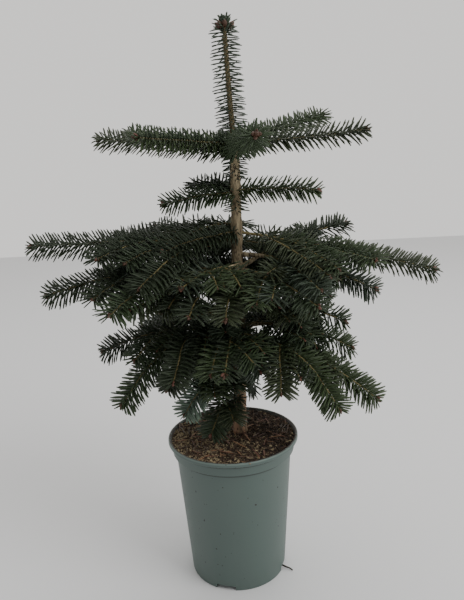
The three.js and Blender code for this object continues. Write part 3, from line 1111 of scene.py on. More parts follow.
@dataclass
class Wood:
    """The trunk and the bare boughs, with young bark in relief.

    Lengths are in millimetres. The collar is how far a branch swells the trunk at its foot and how
    high up and down the swelling goes. The coarse and the fine forms of the relief are so many to a
    millimetre, across and along the limb, and a limb thinner than full_relief_from has less of them.
    """

    growth: Growth
    trunk_sides: int = 40
    trunk_step: float = 2.5
    bough_sides: int = 14
    bough_step: float = 2.5
    fewest_steps: int = 4
    bough_ends: Pair = (1.05, 0.72)
    bough_overlap: float = 1.05
    collar: Pair = (0.9, 5.0)
    relief: float = 0.55
    full_relief_from: float = 6
    coarse_forms: Pair = (0.42, 0.09)
    fine_forms: Pair = (1.3, 0.4)
    fine_share: float = 0.45
    smooth_from: float = 590
    leader_skin: float = 0.5

    def relief_at(self, place: np.ndarray, radius: float) -> float:
        """How far the bark stands out at a place.

        Args:
            place: the place.
            radius: the limb's radius there.

        Returns:
            The distance, in millimetres.
        """
        coarse, fine = (noise.noise(Vector((place[0] * across, place[1] * across, place[2] * along)))
                        for across, along in (self.coarse_forms, self.fine_forms))
        amount = self.relief * min(1, radius / self.full_relief_from)
        return amount * (coarse + self.fine_share * fine)

    def trunk(self, material: Material) -> Object:
        """Builds the trunk, with a collar where each branch leaves it.

        Args:
            material: the bark.

        Returns:
            The trunk.
        """
        line = self.growth.trunk
        foot, top = line.rows[0][0], line.rows[-1][0]
        heights = stepped(foot, top, round((top - foot) / self.trunk_step))
        whorls = [branch[0] for tier in TIERS for branch in tier.branches]
        swell, width = self.collar
        radii = []
        for height in heights:
            near = max(math.exp(-((height - whorl) / width) ** 2) for whorl in whorls)
            old = height < self.smooth_from + width
            radii.append(line.row(height)[1] + (swell * near if old else self.leader_skin))
        centres = [line.point(height) for height in heights]
        points, faces = tube(centres, radii, self.trunk_sides, self.relief_at)
        return dressed(mesh_of("trunk_bark", points, faces), material)

    def boughs(self, material: Material) -> Object:
        """Builds the bare part of every bough as one piece.

        Args:
            material: the bark.

        Returns:
            The boughs.
        """
        points: Points = []
        faces: Faces = []
        for bough in self.growth.boughs:
            bare = bough.tier.bare
            steps = max(self.fewest_steps, round(bough.axis.span() * bare / self.bough_step))
            centres = [bough.axis.point(share) for share in stepped(0.0, bare * self.bough_overlap, steps)]
            thick, thin = (share * bough.tier.thickness for share in self.bough_ends)
            new, sides = tube(centres, stepped(thick, thin, steps), self.bough_sides, self.relief_at)
            faces += renumbered(sides, len(points))
            points += new
        return dressed(mesh_of("bough_bark", points, faces), material)

    def build(self, bark: BarkFinish) -> None:
        """Builds and dresses the trunk and the boughs.

        Args:
            bark: their finish.
        """
        material = bark.material()
        hand_over(self.trunk(material), ["trunk"])
        hand_over(self.boughs(material), [bough.name for bough in self.growth.boughs])


@dataclass
class Sprays:
    """The lines that twigs and needles follow, and what goes with each shoot.

    Lengths are in millimetres. A line sways from its axis by up to sway, in full from sway_full of the
    way along. Needles turn towards the tip over the last ending_length.
    """

    growth: Growth
    step: float = 3.0
    fewest_steps: int = 3
    sway: float = 1.6
    sway_scale: float = 0.03
    sway_full: float = 0.25
    sway_seed: int = 1
    tip_radius: float = 0.8
    yearly_radius: float = 0.42
    ending_length: float = 8
    tints: int = 6
    tint_seed: int = 77
    letter_step: int = 31
    letter_wrap: int = 9973

    def __post_init__(self) -> None:
        """Fixes where the sway's noise starts, so that every run gives the same lines."""
        noise.seed_set(self.sway_seed)

    def line(self, shoot: Shoot) -> Points:
        """A shoot's centre line, which sways a little from its axis.

        Args:
            shoot: the shoot.

        Returns:
            Its points, from where its needles start to its tip.
        """
        steps = max(self.fewest_steps, round(shoot.axis.span() * (1 - shoot.start) / self.step))
        points = []
        for i, share in enumerate(stepped(shoot.start, 1.0, steps)):
            point = shoot.axis.point(share)
            amount = self.sway * min(1.0, i / steps / self.sway_full)
            points.append(point + np.array(noise.noise_vector(Vector(point * self.sway_scale))) * amount)
        return points

    def radius(self, shoot: Shoot, share: float) -> float:
        """The twig's radius at a share of the way to its tip."""
        return lerp(self.tip_radius + self.yearly_radius * shoot.years, self.tip_radius, share)

    def tint(self, shoot: Shoot) -> int:
        """Draws the tint of a shoot's needles from its name.

        Args:
            shoot: the shoot.

        Returns:
            The tint's number.
        """
        letters = sum(ord(letter) * self.letter_step ** i % self.letter_wrap
                      for i, letter in enumerate(shoot.name))
        return int(SeededRandom(self.tint_seed + letters)() * self.tints)


@dataclass
class Twigs:
    """The woody part of every shoot, from three years old to this year's."""

    sprays: Sprays
    sides: int = 6

    def source(self) -> Object:
        """Makes the centre lines as loose edges, each point with its radius.

        Returns:
            The object that the tubes grow on.
        """
        points: Points = []
        edges: list[tuple[int, int]] = []
        radii: list[float] = []
        for shoot in self.sprays.growth.shoots:
            line = self.sprays.line(shoot)
            edges += chain(len(points), len(line))
            radii += [self.sprays.radius(shoot, i / (len(line) - 1)) * MM for i in range(len(line))]
            points += line
        mesh = mesh_of("twig_lines", points, edges=edges)
        carry(mesh, "thickness", "FLOAT", radii)
        return new_object(mesh)

    def tree(self) -> GrowthTree:
        """Makes the nodes that turn the centre lines into tubes.

        Returns:
            The tree of nodes.
        """
        made = GrowthTree("twig_growth")
        sides, bark = made.asks("Sides", "Int", self.sides), made.asks("Bark", "Material")
        curve = made.add("GeometryNodeMeshToCurve", {"Mesh": made.entry.outputs["Geometry"]}).outputs[0]
        ring = made.add("GeometryNodeCurvePrimitiveCircle", {"Resolution": sides, "Radius": 1.0})
        sockets = {"Curve": curve, "Profile Curve": ring.outputs[0], "Fill Caps": True,
                   "Scale": made.attribute("thickness")}
        real = made.realized(made.add("GeometryNodeCurveToMesh", sockets).outputs[0])
        even = made.add("GeometryNodeSetShadeSmooth", {"Geometry": real}).outputs[0]
        made.result(made.painted(even, bark))
        return made

    def build(self, bark: PlainFinish, masses: Sequence[str]) -> None:
        """Builds the twigs as one piece."""
        values = {"Sides": self.sides, "Bark": bark.material()}
        hand_over(self.tree().grow(self.source(), "twigs", values), masses)


@dataclass
class Needles:
    """The needles: parted to both sides and above on the twigs, and all round the upright leader.

    Lengths are in millimetres and angles in degrees. Round a twig an angle of 0 is its top. Needles
    leave it from comb_start to comb_limit, nearer to the sides the smaller comb_crowding is, and grow
    from top_share of their length to the whole between the angles of top_band. A lean is how far a
    needle turns towards the tip: top_lean up to the first angle of lean_band, side_lean from the second.
    Last of all the needles lean by ending_lean and are ending_share as long. Old ones have partly
    fallen: kept is (from, to, share, share), at how far from the trunk what share is left, and
    old_wood is how much of a tier's branches is bare. On the masses in frosted the outer half is paler.
    Each stretch of the leader is (low, high, needle length, ending length, last lean), and the tuft on
    top is (low, high, needle length, last lean, distance from the middle, how many lines).
    """

    sprays: Sprays
    length: float = 24
    width: float = 2.3
    thickness: float = 0.8
    bend: float = 0.5
    spacing: float = 0.56
    line_slack: float = 1.03
    most_triangles: int = 185000
    seed: int = 5
    turn_step: float = 0.618034
    comb_start: float = 22
    comb_limit: float = 130
    comb_crowding: float = 0.7
    top_band: Pair = (15, 80)
    top_share: float = 0.6
    strong_top_share: float = 0.7
    strong_size: float = 0.95
    lean_band: Pair = (10, 85)
    top_lean: float = 22
    side_lean: float = 27
    leader_lean: float = -5
    ending_lean: float = 46
    ending_share: float = 0.55
    no_ending: float = 0.1
    all_ending: float = 900
    turn_varies: float = 0.025
    lean_varies: float = 0.07
    face_varies: float = 0.2
    size_varies: Pair = (0.88, 1.06)
    sunk: float = 0.8
    light: Triple = (0.0, -0.4, 1.0)
    round_masses: tuple[str, ...] = ("top_needles_7",)
    round_upright: float = 0.5
    strong_tiers: tuple[str, ...] = ("top", "between")
    dense_tiers: tuple[str, ...] = ("top", "between", "lowest")
    old_wood: dict[str, float] = field(default_factory=lambda: {"upper": 0.15})
    kept: tuple[float, float, float, float] = (15, 180, 0.24, 1.0)
    frosted: tuple[str, ...] = ("lowest_needles_5",)
    leader_spacing: float = 0.62
    leader: tuple[tuple[float, float, float, float, float], ...] = (
        (600, 728, 18.5, 1, 0), (504, 524, 13, 1, 0), (544, 577, 13, 1, 0), (719, 730, 28, 90, 30),
    )
    leader_tint: int = 1
    tuft: tuple[float, float, float, float, float, int] = (728, 733, 17, 62, 3.0, 6)
    tuft_tint: int = 4

    OUTLINE = ((0.0, 0.5), (0.12, 0.95), (0.8, 1.0), (1.0, 0.55))
    SECTION = ((0.5, 0), (0, 0.6), (-0.5, 0), (0, -0.4))

    def template(self) -> Object:
        """Makes one needle of length and width 1: flat, blunt, bent down a little, and pale below.

        Returns:
            The needle, kept out of the scene.
        """
        points, faces, under = [], [], []
        flat, sides = self.thickness / self.width, len(self.SECTION)
        for along, wide in self.OUTLINE:
            drop = -self.bend * along * along
            for across, over in self.SECTION:
                points.append(np.array([across * wide, along, over * flat * 2 * wide + drop]))
        for ring in range(len(self.OUTLINE) - 1):
            for i in range(sides):
                near, far = ring * sides + i, ring * sides + (i + 1) % sides
                faces.append((near, near + sides, far + sides, far))
                under.append(i >= sides / 2)
        last = sides * (len(self.OUTLINE) - 1)
        faces.append((last, *range(last + sides - 1, last, -1)))
        under.append(False)
        made = template("needle", points, faces)
        mark = made.data.attributes.new("under", "BOOLEAN", "FACE")
        mark.data.foreach_set("value", under)
        shade_smooth(made.data)
        return made

    def source(self, name: str, lines: Lines) -> Object:
        """Makes centre lines as loose edges, each point with what its needles need.

        Args:
            name: the piece's name.
            lines: each line's points, and the values that they all carry.

        Returns:
            The object that the needles grow on.
        """
        points: Points = []
        edges: list[tuple[int, int]] = []
        plain = ("tint", "upright", "size", "top", "last_lean", "young")
        carried: dict[str, list] = {key: [] for key in (*plain, "thickness", "ending")}
        for line, values in lines:
            edges += chain(len(points), len(line))
            whole = sum(float(np.linalg.norm(b - a)) for a, b in zip(line, line[1:]))
            done = 0.0
            for i, point in enumerate(line):
                done += float(np.linalg.norm(point - line[i - 1])) if i else 0.0
                left = (whole - done) / values["ending"]
                carried["ending"].append(min(1.0, max(0.0, 1 - left)))
                for key in plain:
                    carried[key].append(values[key])
                carried["thickness"].append(lerp(*values["radii"], i / (len(line) - 1)) * MM)
            points += line
        mesh = mesh_of(f"{name}_lines", points, edges=edges)
        for key, values in carried.items():
            carry(mesh, key, "INT" if key == "tint" else "FLOAT", values)
        return new_object(mesh)

    def turns(self, made: GrowthTree, upright: Socket, limit: Socket, seed: Socket
              ) -> tuple[Socket, Socket]:
        """Works out where round the twig each needle leaves it.

        Args:
            made: the nodes.
            upright: how upright the twig is, from 0 to 1.
            limit: the largest angle from the top.
            seed: the tree's seed.

        Returns:
            The angle from the top, without and with the side that it goes to.
        """
        index = made.add("GeometryNodeInputIndex", {}).outputs[0]
        turn = made.number("FRACT", made.number("MULTIPLY", index, self.turn_step))
        turn = made.number("ADD", turn, made.random(-self.turn_varies, self.turn_varies, seed))
        signed = made.number("SUBTRACT", made.number("MULTIPLY", turn, 2.0), 1.0)
        power = made.eased(upright, 0.0, 1.0, self.comb_crowding, 1.0)
        far = made.eased(upright, 0.0, 1.0, limit, math.pi)
        near = made.eased(upright, 0.0, 1.0, math.radians(self.comb_start), 0.0)
        share = made.number("POWER", made.number("ABSOLUTE", signed), power)
        around = made.ranged(share, 0.0, 1.0, near, far)
        return around, made.number("MULTIPLY", around, made.number("SIGN", signed))

    def lean_and_size(self, made: GrowthTree, upright: Socket, around: Socket, seed: Socket
                      ) -> tuple[Socket, Socket]:
        """Works out how far each needle leans towards the tip and how long it is.

        Args:
            made: the nodes.
            upright: how upright the twig is, from 0 to 1.
            around: the needle's angle from the top.
            seed: the tree's seed.

        Returns:
            The lean, as an angle, and the size, where 1 is the full length.
        """
        ends = [math.radians(angle) for angle in (*self.lean_band, self.top_lean, self.side_lean)]
        lean = made.eased(upright, 0.0, 1.0, made.eased(around, *ends), math.radians(self.leader_lean))
        lean = made.number("ADD", lean, made.random(-self.lean_varies, self.lean_varies, seed, 1))
        lean = made.ranged(made.attribute("ending"), 0.0, 1.0, lean, made.attribute("last_lean"))

        ends = [math.radians(angle) for angle in self.top_band]
        short = made.eased(around, *ends, made.attribute("top"), 1.0)
        last = made.eased(made.attribute("ending"), 0.0, 1.0, 1.0, self.ending_share)
        size = made.number("MULTIPLY", made.eased(upright, 0.0, 1.0, short, 1.0), made.attribute("size"))
        size = made.number("MULTIPLY", size, made.random(*self.size_varies, seed, 2))
        return lean, made.number("MULTIPLY", size, last)

    def stays(self, made: GrowthTree, seed: Socket) -> Socket:
        """Picks the needles that haven't fallen: fewer near the trunk, but all on young wood.

        Args:
            made: the nodes.
            seed: the tree's seed.

        Returns:
            True for a needle that is there.
        """
        place = made.add("GeometryNodeInputPosition", {}).outputs[0]
        foot = self.sprays.growth.trunk.point(self.sprays.growth.trunk.rows[0][0]) * MM
        reach = made.vector("DISTANCE", made.vector("MULTIPLY", place, (1.0, 1.0, 0.0)),
                            (foot[0], foot[1], 0.0))
        bare, full, least, most = self.kept
        share = made.eased(reach, bare * MM, full * MM, least, most)
        share = made.number("MAXIMUM", share, made.attribute("young"))
        return made.number("LESS_THAN", made.random(0.0, 1.0, seed, 4), share)

    def tree(self, tints: int) -> GrowthTree:
        """Makes the nodes that set the needles along the centre lines.

        Args:
            tints: how many tints there are.

        Returns:
            The tree of nodes.
        """
        made = GrowthTree("needle_growth")
        needle = made.asks("Needle", "Object")
        spacing = made.asks("Spacing", "Float", self.spacing * MM)
        length, width = made.asks("Length", "Float"), made.asks("Width", "Float")
        limit = made.asks("Parting", "Float", math.radians(self.comb_limit))
        seed = made.asks("Seed", "Int", self.seed)
        colours = [made.asks(f"Tint {i}", "Material") for i in range(tints)]
        pale = made.asks("Underside", "Material")

        curve = made.add("GeometryNodeMeshToCurve", {"Mesh": made.entry.outputs["Geometry"]}).outputs[0]
        spread = made.add("GeometryNodeCurveToPoints", {"Curve": curve}, mode="LENGTH")
        made.feed(spread.inputs["Length"], spacing)
        along = spread.outputs["Tangent"]
        upright = made.attribute("upright")
        around, angle = self.turns(made, upright, limit, seed)
        lean, size = self.lean_and_size(made, upright, around, seed)

        # The twig's own frame, which a nudge gives to an upright one too, and the needle's direction.
        nudge = (1e-3, 0.0, 0.0)
        across = made.vector("ADD", made.vector("CROSS_PRODUCT", along, self.light), nudge)
        side = made.vector("NORMALIZE", across)
        over = made.vector("NORMALIZE", made.vector("CROSS_PRODUCT", side, along))
        radial = made.leaned(over, side, angle)
        aim = made.leaned(radial, along, lean)

        # A needle's upper face looks up from a twig, and towards the tip on the leader.
        varies = (self.face_varies,) * 3
        jitter = made.random([-value for value in varies], varies, seed, 3, "FLOAT_VECTOR")
        up_from = made.vector("SCALE", over, made.number("SUBTRACT", 1.0, upright))
        face = made.vector("ADD", up_from, made.vector("SCALE", along, upright))
        sockets = {"Primary Axis": aim, "Secondary Axis": made.vector("ADD", face, jitter)}
        turned = made.add("FunctionNodeAxesToRotation", sockets, primary_axis="Y", secondary_axis="Z")

        sunk = made.number("MULTIPLY", made.attribute("thickness"), self.sunk)
        sockets = {"Geometry": spread.outputs["Points"], "Offset": made.vector("SCALE", radial, sunk)}
        moved = made.add("GeometryNodeSetPosition", sockets).outputs[0]
        tall = made.number("MULTIPLY", size, length)
        sockets = {"Points": moved, "Instance": made.shape(needle), "Rotation": turned.outputs[0],
                   "Scale": made.joined(width, tall, width), "Selection": self.stays(made, seed)}
        real = made.realized(made.add("GeometryNodeInstanceOnPoints", sockets).outputs[0])
        under = made.attribute("under", "BOOLEAN")
        made.result(made.painted(made.dealt(real, "tint", colours), pale, under))
        return made

    def shoot_lines(self, shoot: Shoot) -> Lines:
        """Gives a shoot's centre line with what its needles need.

        Args:
            shoot: the shoot.

        Returns:
            One line, or two where the outer half is paler.
        """
        strong = shoot.tier.name in self.strong_tiers
        values = {
            "tint": self.sprays.tint(shoot),
            "upright": self.round_upright if shoot.mass in self.round_masses else 0.0,
            "radii": (self.sprays.radius(shoot, 0), self.sprays.radius(shoot, 1)),
            "size": self.strong_size if strong else 1.0,
            "top": self.strong_top_share if strong else self.top_share,
            "last_lean": math.radians(self.ending_lean),
            "ending": self.sprays.ending_length,
            "young": float(shoot.tier.name in self.dense_tiers),
        }
        line = self.sprays.line(shoot)
        if shoot.order > 0:
            return [(line, values)]
        line = line[round(self.old_wood.get(shoot.tier.name, 0.0) * (len(line) - 1)):]
        if shoot.mass not in self.frosted:
            return [(line, values)]
        middle = len(line) // 2
        return [(line[middle:], {**values, "tint": self.sprays.tints}),
                (line[:middle + 1], {**values, "ending": self.no_ending})]

    def groups(self) -> list[tuple[str, list[str], Lines]]:
        """Shares the masses out into pieces that stay small enough.

        Returns:
            Each piece's name, the masses that it stands for, and its lines.
        """
        needle_triangles = 2 * len(self.SECTION) * (len(self.OUTLINE) - 1) + 2
        most = self.most_triangles / needle_triangles * self.spacing
        found: list[tuple[str, list[str], Lines]] = []
        for tier in TIERS:
            room, number = 0.0, 0
            for i in range(1, len(tier.branches) + 1):
                mass = f"{tier.name}_needles_{i}"
                shoots = [shoot for shoot in self.sprays.growth.shoots if shoot.mass == mass]
                need = sum(shoot.axis.span() * (1 - shoot.start) * self.line_slack for shoot in shoots)
                if need > room:
                    number += 1
                    found.append((f"{tier.name}_tier_needles_{number}", [], []))
                    room = most
                room -= need
                found[-1][1].append(mass)
                for shoot in shoots:
                    found[-1][2].extend(self.shoot_lines(shoot))
        return found

    def leader_lines(self) -> Lines:
        """Gives the stretches of the trunk and leader that carry needles, and the tuft on top.

        Returns:
            Each line's points, and the values that they all carry.
        """
        trunk, lines = self.sprays.growth.trunk, []
        plain = {"upright": 1.0, "top": 1.0, "young": 1.0}
        for low, high, length, ending, lean in self.leader:
            steps = max(2, round((high - low) / self.sprays.step))
            values = {**plain, "tint": self.leader_tint, "size": length / self.length, "ending": ending,
                      "radii": (trunk.row(low)[1], trunk.row(high)[1]), "last_lean": math.radians(lean)}
            lines.append(([trunk.point(height) for height in stepped(low, high, steps)], values))
        low, high, length, lean, apart, count = self.tuft
        values = {**plain, "tint": self.tuft_tint, "size": length / self.length, "radii": (0, 0),
                  "ending": self.all_ending, "last_lean": math.radians(lean)}
        heights = (low, (low + high) / 2, high)
        lines += [([trunk.point(height) + out for height in heights], values)
                  for out in circle(apart, 0.0, count)]
        return lines

    def build(self, tints: Sequence[PlainFinish], underside: PlainFinish) -> None:
        """Builds every piece of needles.

        Args:
            tints: the finishes that are dealt out by shoot, with the paler one last.
            underside: the finish of every needle's lower face.
        """
        tree = self.tree(len(tints))
        values = {"Needle": self.template(), "Spacing": self.spacing * MM, "Length": self.length * MM,
                  "Width": self.width * MM, "Parting": math.radians(self.comb_limit),
                  "Seed": self.seed, "Underside": underside.material()}
        values.update({f"Tint {i}": tint.material() for i, tint in enumerate(tints)})
        for name, masses, lines in self.groups():
            hand_over(tree.grow(self.source(name, lines), name, values), masses)
        upright = self.source("trunk_and_leader_needles", self.leader_lines())
        values["Spacing"] = self.leader_spacing * MM
        hand_over(tree.grow(upright, "trunk_and_leader_needles", values),
              ["leader_needles", "trunk_needles_1", "trunk_needles_2"])


@dataclass
class Buds:
    """Resinous buds: a cluster at the top, three or more at strong tips and one at weak ones.

    Lengths are in millimetres and angles in radians. The buds of a kind of tip are given as how many
    there are and how large. The first stands sunk[0] behind the tip and the others, which lean
    outwards, sunk[1]. One bud in kinds is red. The crown is (height, count, size, spread, distance
    from the middle), and each bud on the leader is (height, bearing in degrees, size).
    """

    sprays: Sprays
    length: float = 5.2
    width: float = 3.4
    sides: int = 6
    kinds: int = 3
    seed: int = 31
    strong: float = 60
    weak_buds: tuple[int, float] = (1, 0.7)
    strong_buds: tuple[int, float] = (3, 1.0)
    main_buds: tuple[int, float] = (4, 1.3)
    large_buds: tuple[int, float] = (5, 1.75)
    large_on: tuple[str, ...] = ("top_needles_7",)
    spread: float = 0.62
    apart: float = 0.8
    sunk: Pair = (0.6, 1.4)
    outer_size: float = 0.86
    size_varies: float = 0.1
    turn_varies: float = 0.3
    crown: tuple[float, int, float, float, float] = (726.5, 7, 2.3, 0.8, 4.6)
    leader_buds: tuple[Triple, ...] = ((707, 350, 0.9), (663, 10, 0.9), (651, 345, 0.8))
    leader_rise: float = 0.9
    leader_reach: float = 2

    PROFILE = ((0.0, 0.5), (0.2, 0.88), (0.5, 1.0), (0.8, 0.66), (1.0, 0.16))
    SLANTED = np.array([0.3, 0.2, 1.0])

    def template(self) -> Object:
        """Makes one bud of length and width 1, upright, with a blunt top.

        Returns:
            The bud, kept out of the scene.
        """
        points = [point for along, wide in self.PROFILE for point in circle(wide / 2, along, self.sides)]
        made = template("bud", points, rings(len(self.PROFILE), self.sides))
        shade_smooth(made.data)
        return made

    def cluster(self, tip: np.ndarray, ahead: np.ndarray, count: int, size: float, random: SeededRandom,
                spread: float, apart: float) -> Placed:
        """Sets one bud straight ahead and the others round it.

        Args:
            tip: the end of the shoot.
            ahead: the direction that it grows in.
            count: how many buds there are.
            size: how large they are, where 1 is usual.
            random: what varies them.
            spread: the angle that the outer ones lean outwards by.
            apart: how far from the middle they stand, in millimetres.

        Returns:
            Each bud's place, direction and size.
        """
        side = unit(np.cross(ahead, self.SLANTED))
        over = np.cross(side, ahead)
        found = [(tip - ahead * self.sunk[0], ahead, size * random.around(1, self.size_varies))]
        start = random() * WHOLE_TURN
        for k in range(count - 1):
            turn = start + WHOLE_TURN * k / max(1, count - 1) + random.around(0, self.turn_varies)
            out = side * math.cos(turn) + over * math.sin(turn)
            aim = unit(ahead * math.cos(spread) + out * math.sin(spread))
            outer = size * random.around(self.outer_size, self.size_varies)
            found.append((tip - ahead * self.sunk[1] + out * apart, aim, outer))
        return found

    def places(self) -> Placed:
        """Finds every bud's place.

        Returns:
            Each bud's place, direction and size.
        """
        random, line, found = SeededRandom(self.seed), self.sprays.growth.trunk, []
        for shoot in self.sprays.growth.shoots:
            points = self.sprays.line(shoot)
            count, size = self.strong_buds if shoot.axis.span() > self.strong else self.weak_buds
            if shoot.order == 0:
                count, size = self.main_buds
            if shoot.mass in self.large_on:
                count, size = self.large_buds
            ahead = unit(points[-1] - points[-2])
            found += self.cluster(points[-1], ahead, count, size, random, self.spread, self.apart)
        height, count, size, spread, apart = self.crown
        found += self.cluster(line.point(height), UP, count, size, random, spread, apart)
        for height, bearing, size in self.leader_buds:
            out = unit(outward(bearing) + UP * self.leader_rise)
            found.append((line.point(height) + out * self.leader_reach, out, size))
        return found

    def tree(self) -> GrowthTree:
        """Makes the nodes that set a bud on every point.

        Returns:
            The tree of nodes.
        """
        made = GrowthTree("bud_growth")
        bud = made.asks("Bud", "Object")
        width, length = made.asks("Width", "Float"), made.asks("Length", "Float")
        seed = made.asks("Seed", "Int", self.seed)
        brown, red = made.asks("Brown", "Material"), made.asks("Red", "Material")
        sockets = {"Vector": made.attribute("ahead", "FLOAT_VECTOR")}
        turned = made.add("FunctionNodeAlignRotationToVector", sockets, axis="Z").outputs[0]
        size = made.attribute("size")
        wide, tall = made.number("MULTIPLY", size, width), made.number("MULTIPLY", size, length)
        sockets = {"Points": made.entry.outputs["Geometry"], "Instance": made.shape(bud),
                   "Rotation": turned, "Scale": made.joined(wide, wide, tall)}
        buds = made.add("GeometryNodeInstanceOnPoints", sockets).outputs[0]
        kind = made.random(0, self.kinds - 1, seed, kind="INT")
        real = made.realized(made.marked(buds, "kind", kind))
        made.result(made.dealt(made.painted(real, brown), "kind", [red]))
        return made

    def build(self, brown: PlainFinish, red: PlainFinish, masses: Sequence[str]) -> None:
        """Builds the buds as one piece.

        Args:
            brown: the finish of most of them.
            red: the finish of the rest.
            masses: the masses of needles that they belong to.
        """
        found = self.places()
        mesh = mesh_of("bud_points", [place for place, _, _ in found])
        carry(mesh, "ahead", "FLOAT_VECTOR", [ahead for _, ahead, _ in found])
        carry(mesh, "size", "FLOAT", [size for _, _, size in found])
        values = {"Bud": self.template(), "Width": self.width * MM, "Length": self.length * MM,
                  "Seed": self.seed, "Brown": brown.material(), "Red": red.material()}
        grown = self.tree().grow(new_object(mesh), "buds", values)
        hand_over(grown, [*masses, "leader_needles"])


def fillet(outline: Sequence[Pair], radius: float, steps: int) -> Points:
    """Rounds the corners of an open outline.

    Args:
        outline: the corners, as (distance from the axis, height).
        radius: the rounding, which a short side makes smaller.
        steps: how many pieces each rounding has.

    Returns:
        The points of the rounded outline.
    """
    most = 0.45
    corners = [np.array(corner, float) for corner in outline]
    points = [corners[0]]
    for before, corner, after in zip(corners, corners[1:], corners[2:]):
        cut = min(radius, *(most * np.linalg.norm(other - corner) for other in (before, after)))
        start, end = corner + unit(before - corner) * cut, corner + unit(after - corner) * cut
        for share in stepped(0.0, 1.0, steps):
            points.append(lerp(lerp(start, corner, share), lerp(corner, end, share), share))
    return [*points, corners[-1]]


def turned(outline: Points, sides: int) -> tuple[Points, Faces]:
    """Turns an outline that starts and ends on the axis about it.

    Args:
        outline: points as (distance from the axis, height), from below round the outside to the top.
        sides: how many steps the turn has.

    Returns:
        The points and the faces of a closed shape.
    """
    inner = outline[1:-1]
    points = [point for radius, height in inner for point in circle(radius, height, sides)]
    faces = rings(len(inner), sides)[1:-1]
    bottom, top = len(points), len(points) + 1
    points += [np.array([0, 0, outline[0][1]]), np.array([0, 0, outline[-1][1]])]
    last = (len(inner) - 1) * sides
    faces += [(bottom, (k + 1) % sides, k) for k in range(sides)]
    faces += [(top, last + k, last + (k + 1) % sides) for k in range(sides)]
    return points, faces


@dataclass
class Pot:
    """The tapered nursery pot: a rolled lip over a plain band, and four drain notches underneath.

    Sizes are in millimetres. The outline is (distance from the axis, height). What is cut away at each
    of the notches is (from, to, width, from, to), for the distance from the axis and the height.
    """

    outline: tuple[Pair, ...] = (
        (0, 0), (67, 0), (80, 179), (84.4, 180), (85, 194), (89, 194), (90, 195), (90, 199), (89, 200),
        (87.2, 200), (84.6, 196), (82.4, 181), (78.4, 179), (66, 9), (0, 9),
    )
    sides: int = 144
    rounding: float = 0.9
    steps: int = 3
    sharp_angle: float = 40
    notches: int = 4
    first_bearing: float = 253
    notch: tuple[float, ...] = (54, 75, 27, -5, 6.5)
    slot: tuple[float, ...] = (58, 63, 12, -4, 12)
    root: tuple[Triple, ...] = (
        (54, -20, 5.2), (60, -25, 4.4), (66, -29, 3.4), (71, -31, 2.6), (75, -33.5, 1.0),
    )
    root_radius: Pair = (1.4, 0.8)
    root_sides: int = 8

    def cutter(self) -> Object:
        """Makes the notches and slots as one shape to cut away.

        Returns:
            The shape.
        """
        points: Points = []
        faces: Faces = []
        for number in range(self.notches):
            out = outward(self.first_bearing + 360 / self.notches * number)
            side = np.cross(UP, out)
            for near, far, width, low, high in (self.notch, self.slot):
                half = width / 2
                faces += renumbered(rings(2, 4), len(points))
                points += [out * reach + side * across + UP * level for level in (low, high)
                           for reach, across in ((near, -half), (far, -half), (far, half), (near, half))]
        return new_object(mesh_of("pot_cutter", points, faces))

    def shell(self, material: Material) -> Object:
        """Turns the outline, then cuts the notches and slots into it.

        Args:
            material: the plastic.

        Returns:
            The pot.
        """
        points, faces = turned(fillet(self.outline, self.rounding, self.steps), self.sides)
        whole = new_object(mesh_of("pot_whole", points, faces))
        cutter = self.cutter()
        cut = whole.modifiers.new("drains", "BOOLEAN")
        cut.operation, cut.solver, cut.object, cut.use_self = "DIFFERENCE", "EXACT", cutter, True
        piece = dressed(evaluated(whole, "pot_shell"), material)
        piece.data.set_sharp_from_angle(angle=math.radians(self.sharp_angle))
        for used in (whole, cutter):
            bpy.data.objects.remove(used)
        return piece

    def build(self, finish: PotFinish, root: PlainFinish) -> None:
        """Builds the pot and the thin root that has grown out of a notch.

        Args:
            finish: the pot's finish.
            root: the root's finish.
        """
        hand_over(self.shell(finish.material()), ["pot"])
        centres = [np.array(point, float) for point in self.root]
        radii = stepped(*self.root_radius, len(centres) - 1)
        points, faces = tube(centres, radii, self.root_sides)
        strand = dressed(mesh_of("drain_root", points, faces), root.material())
        hand_over(strand, ["pot"])


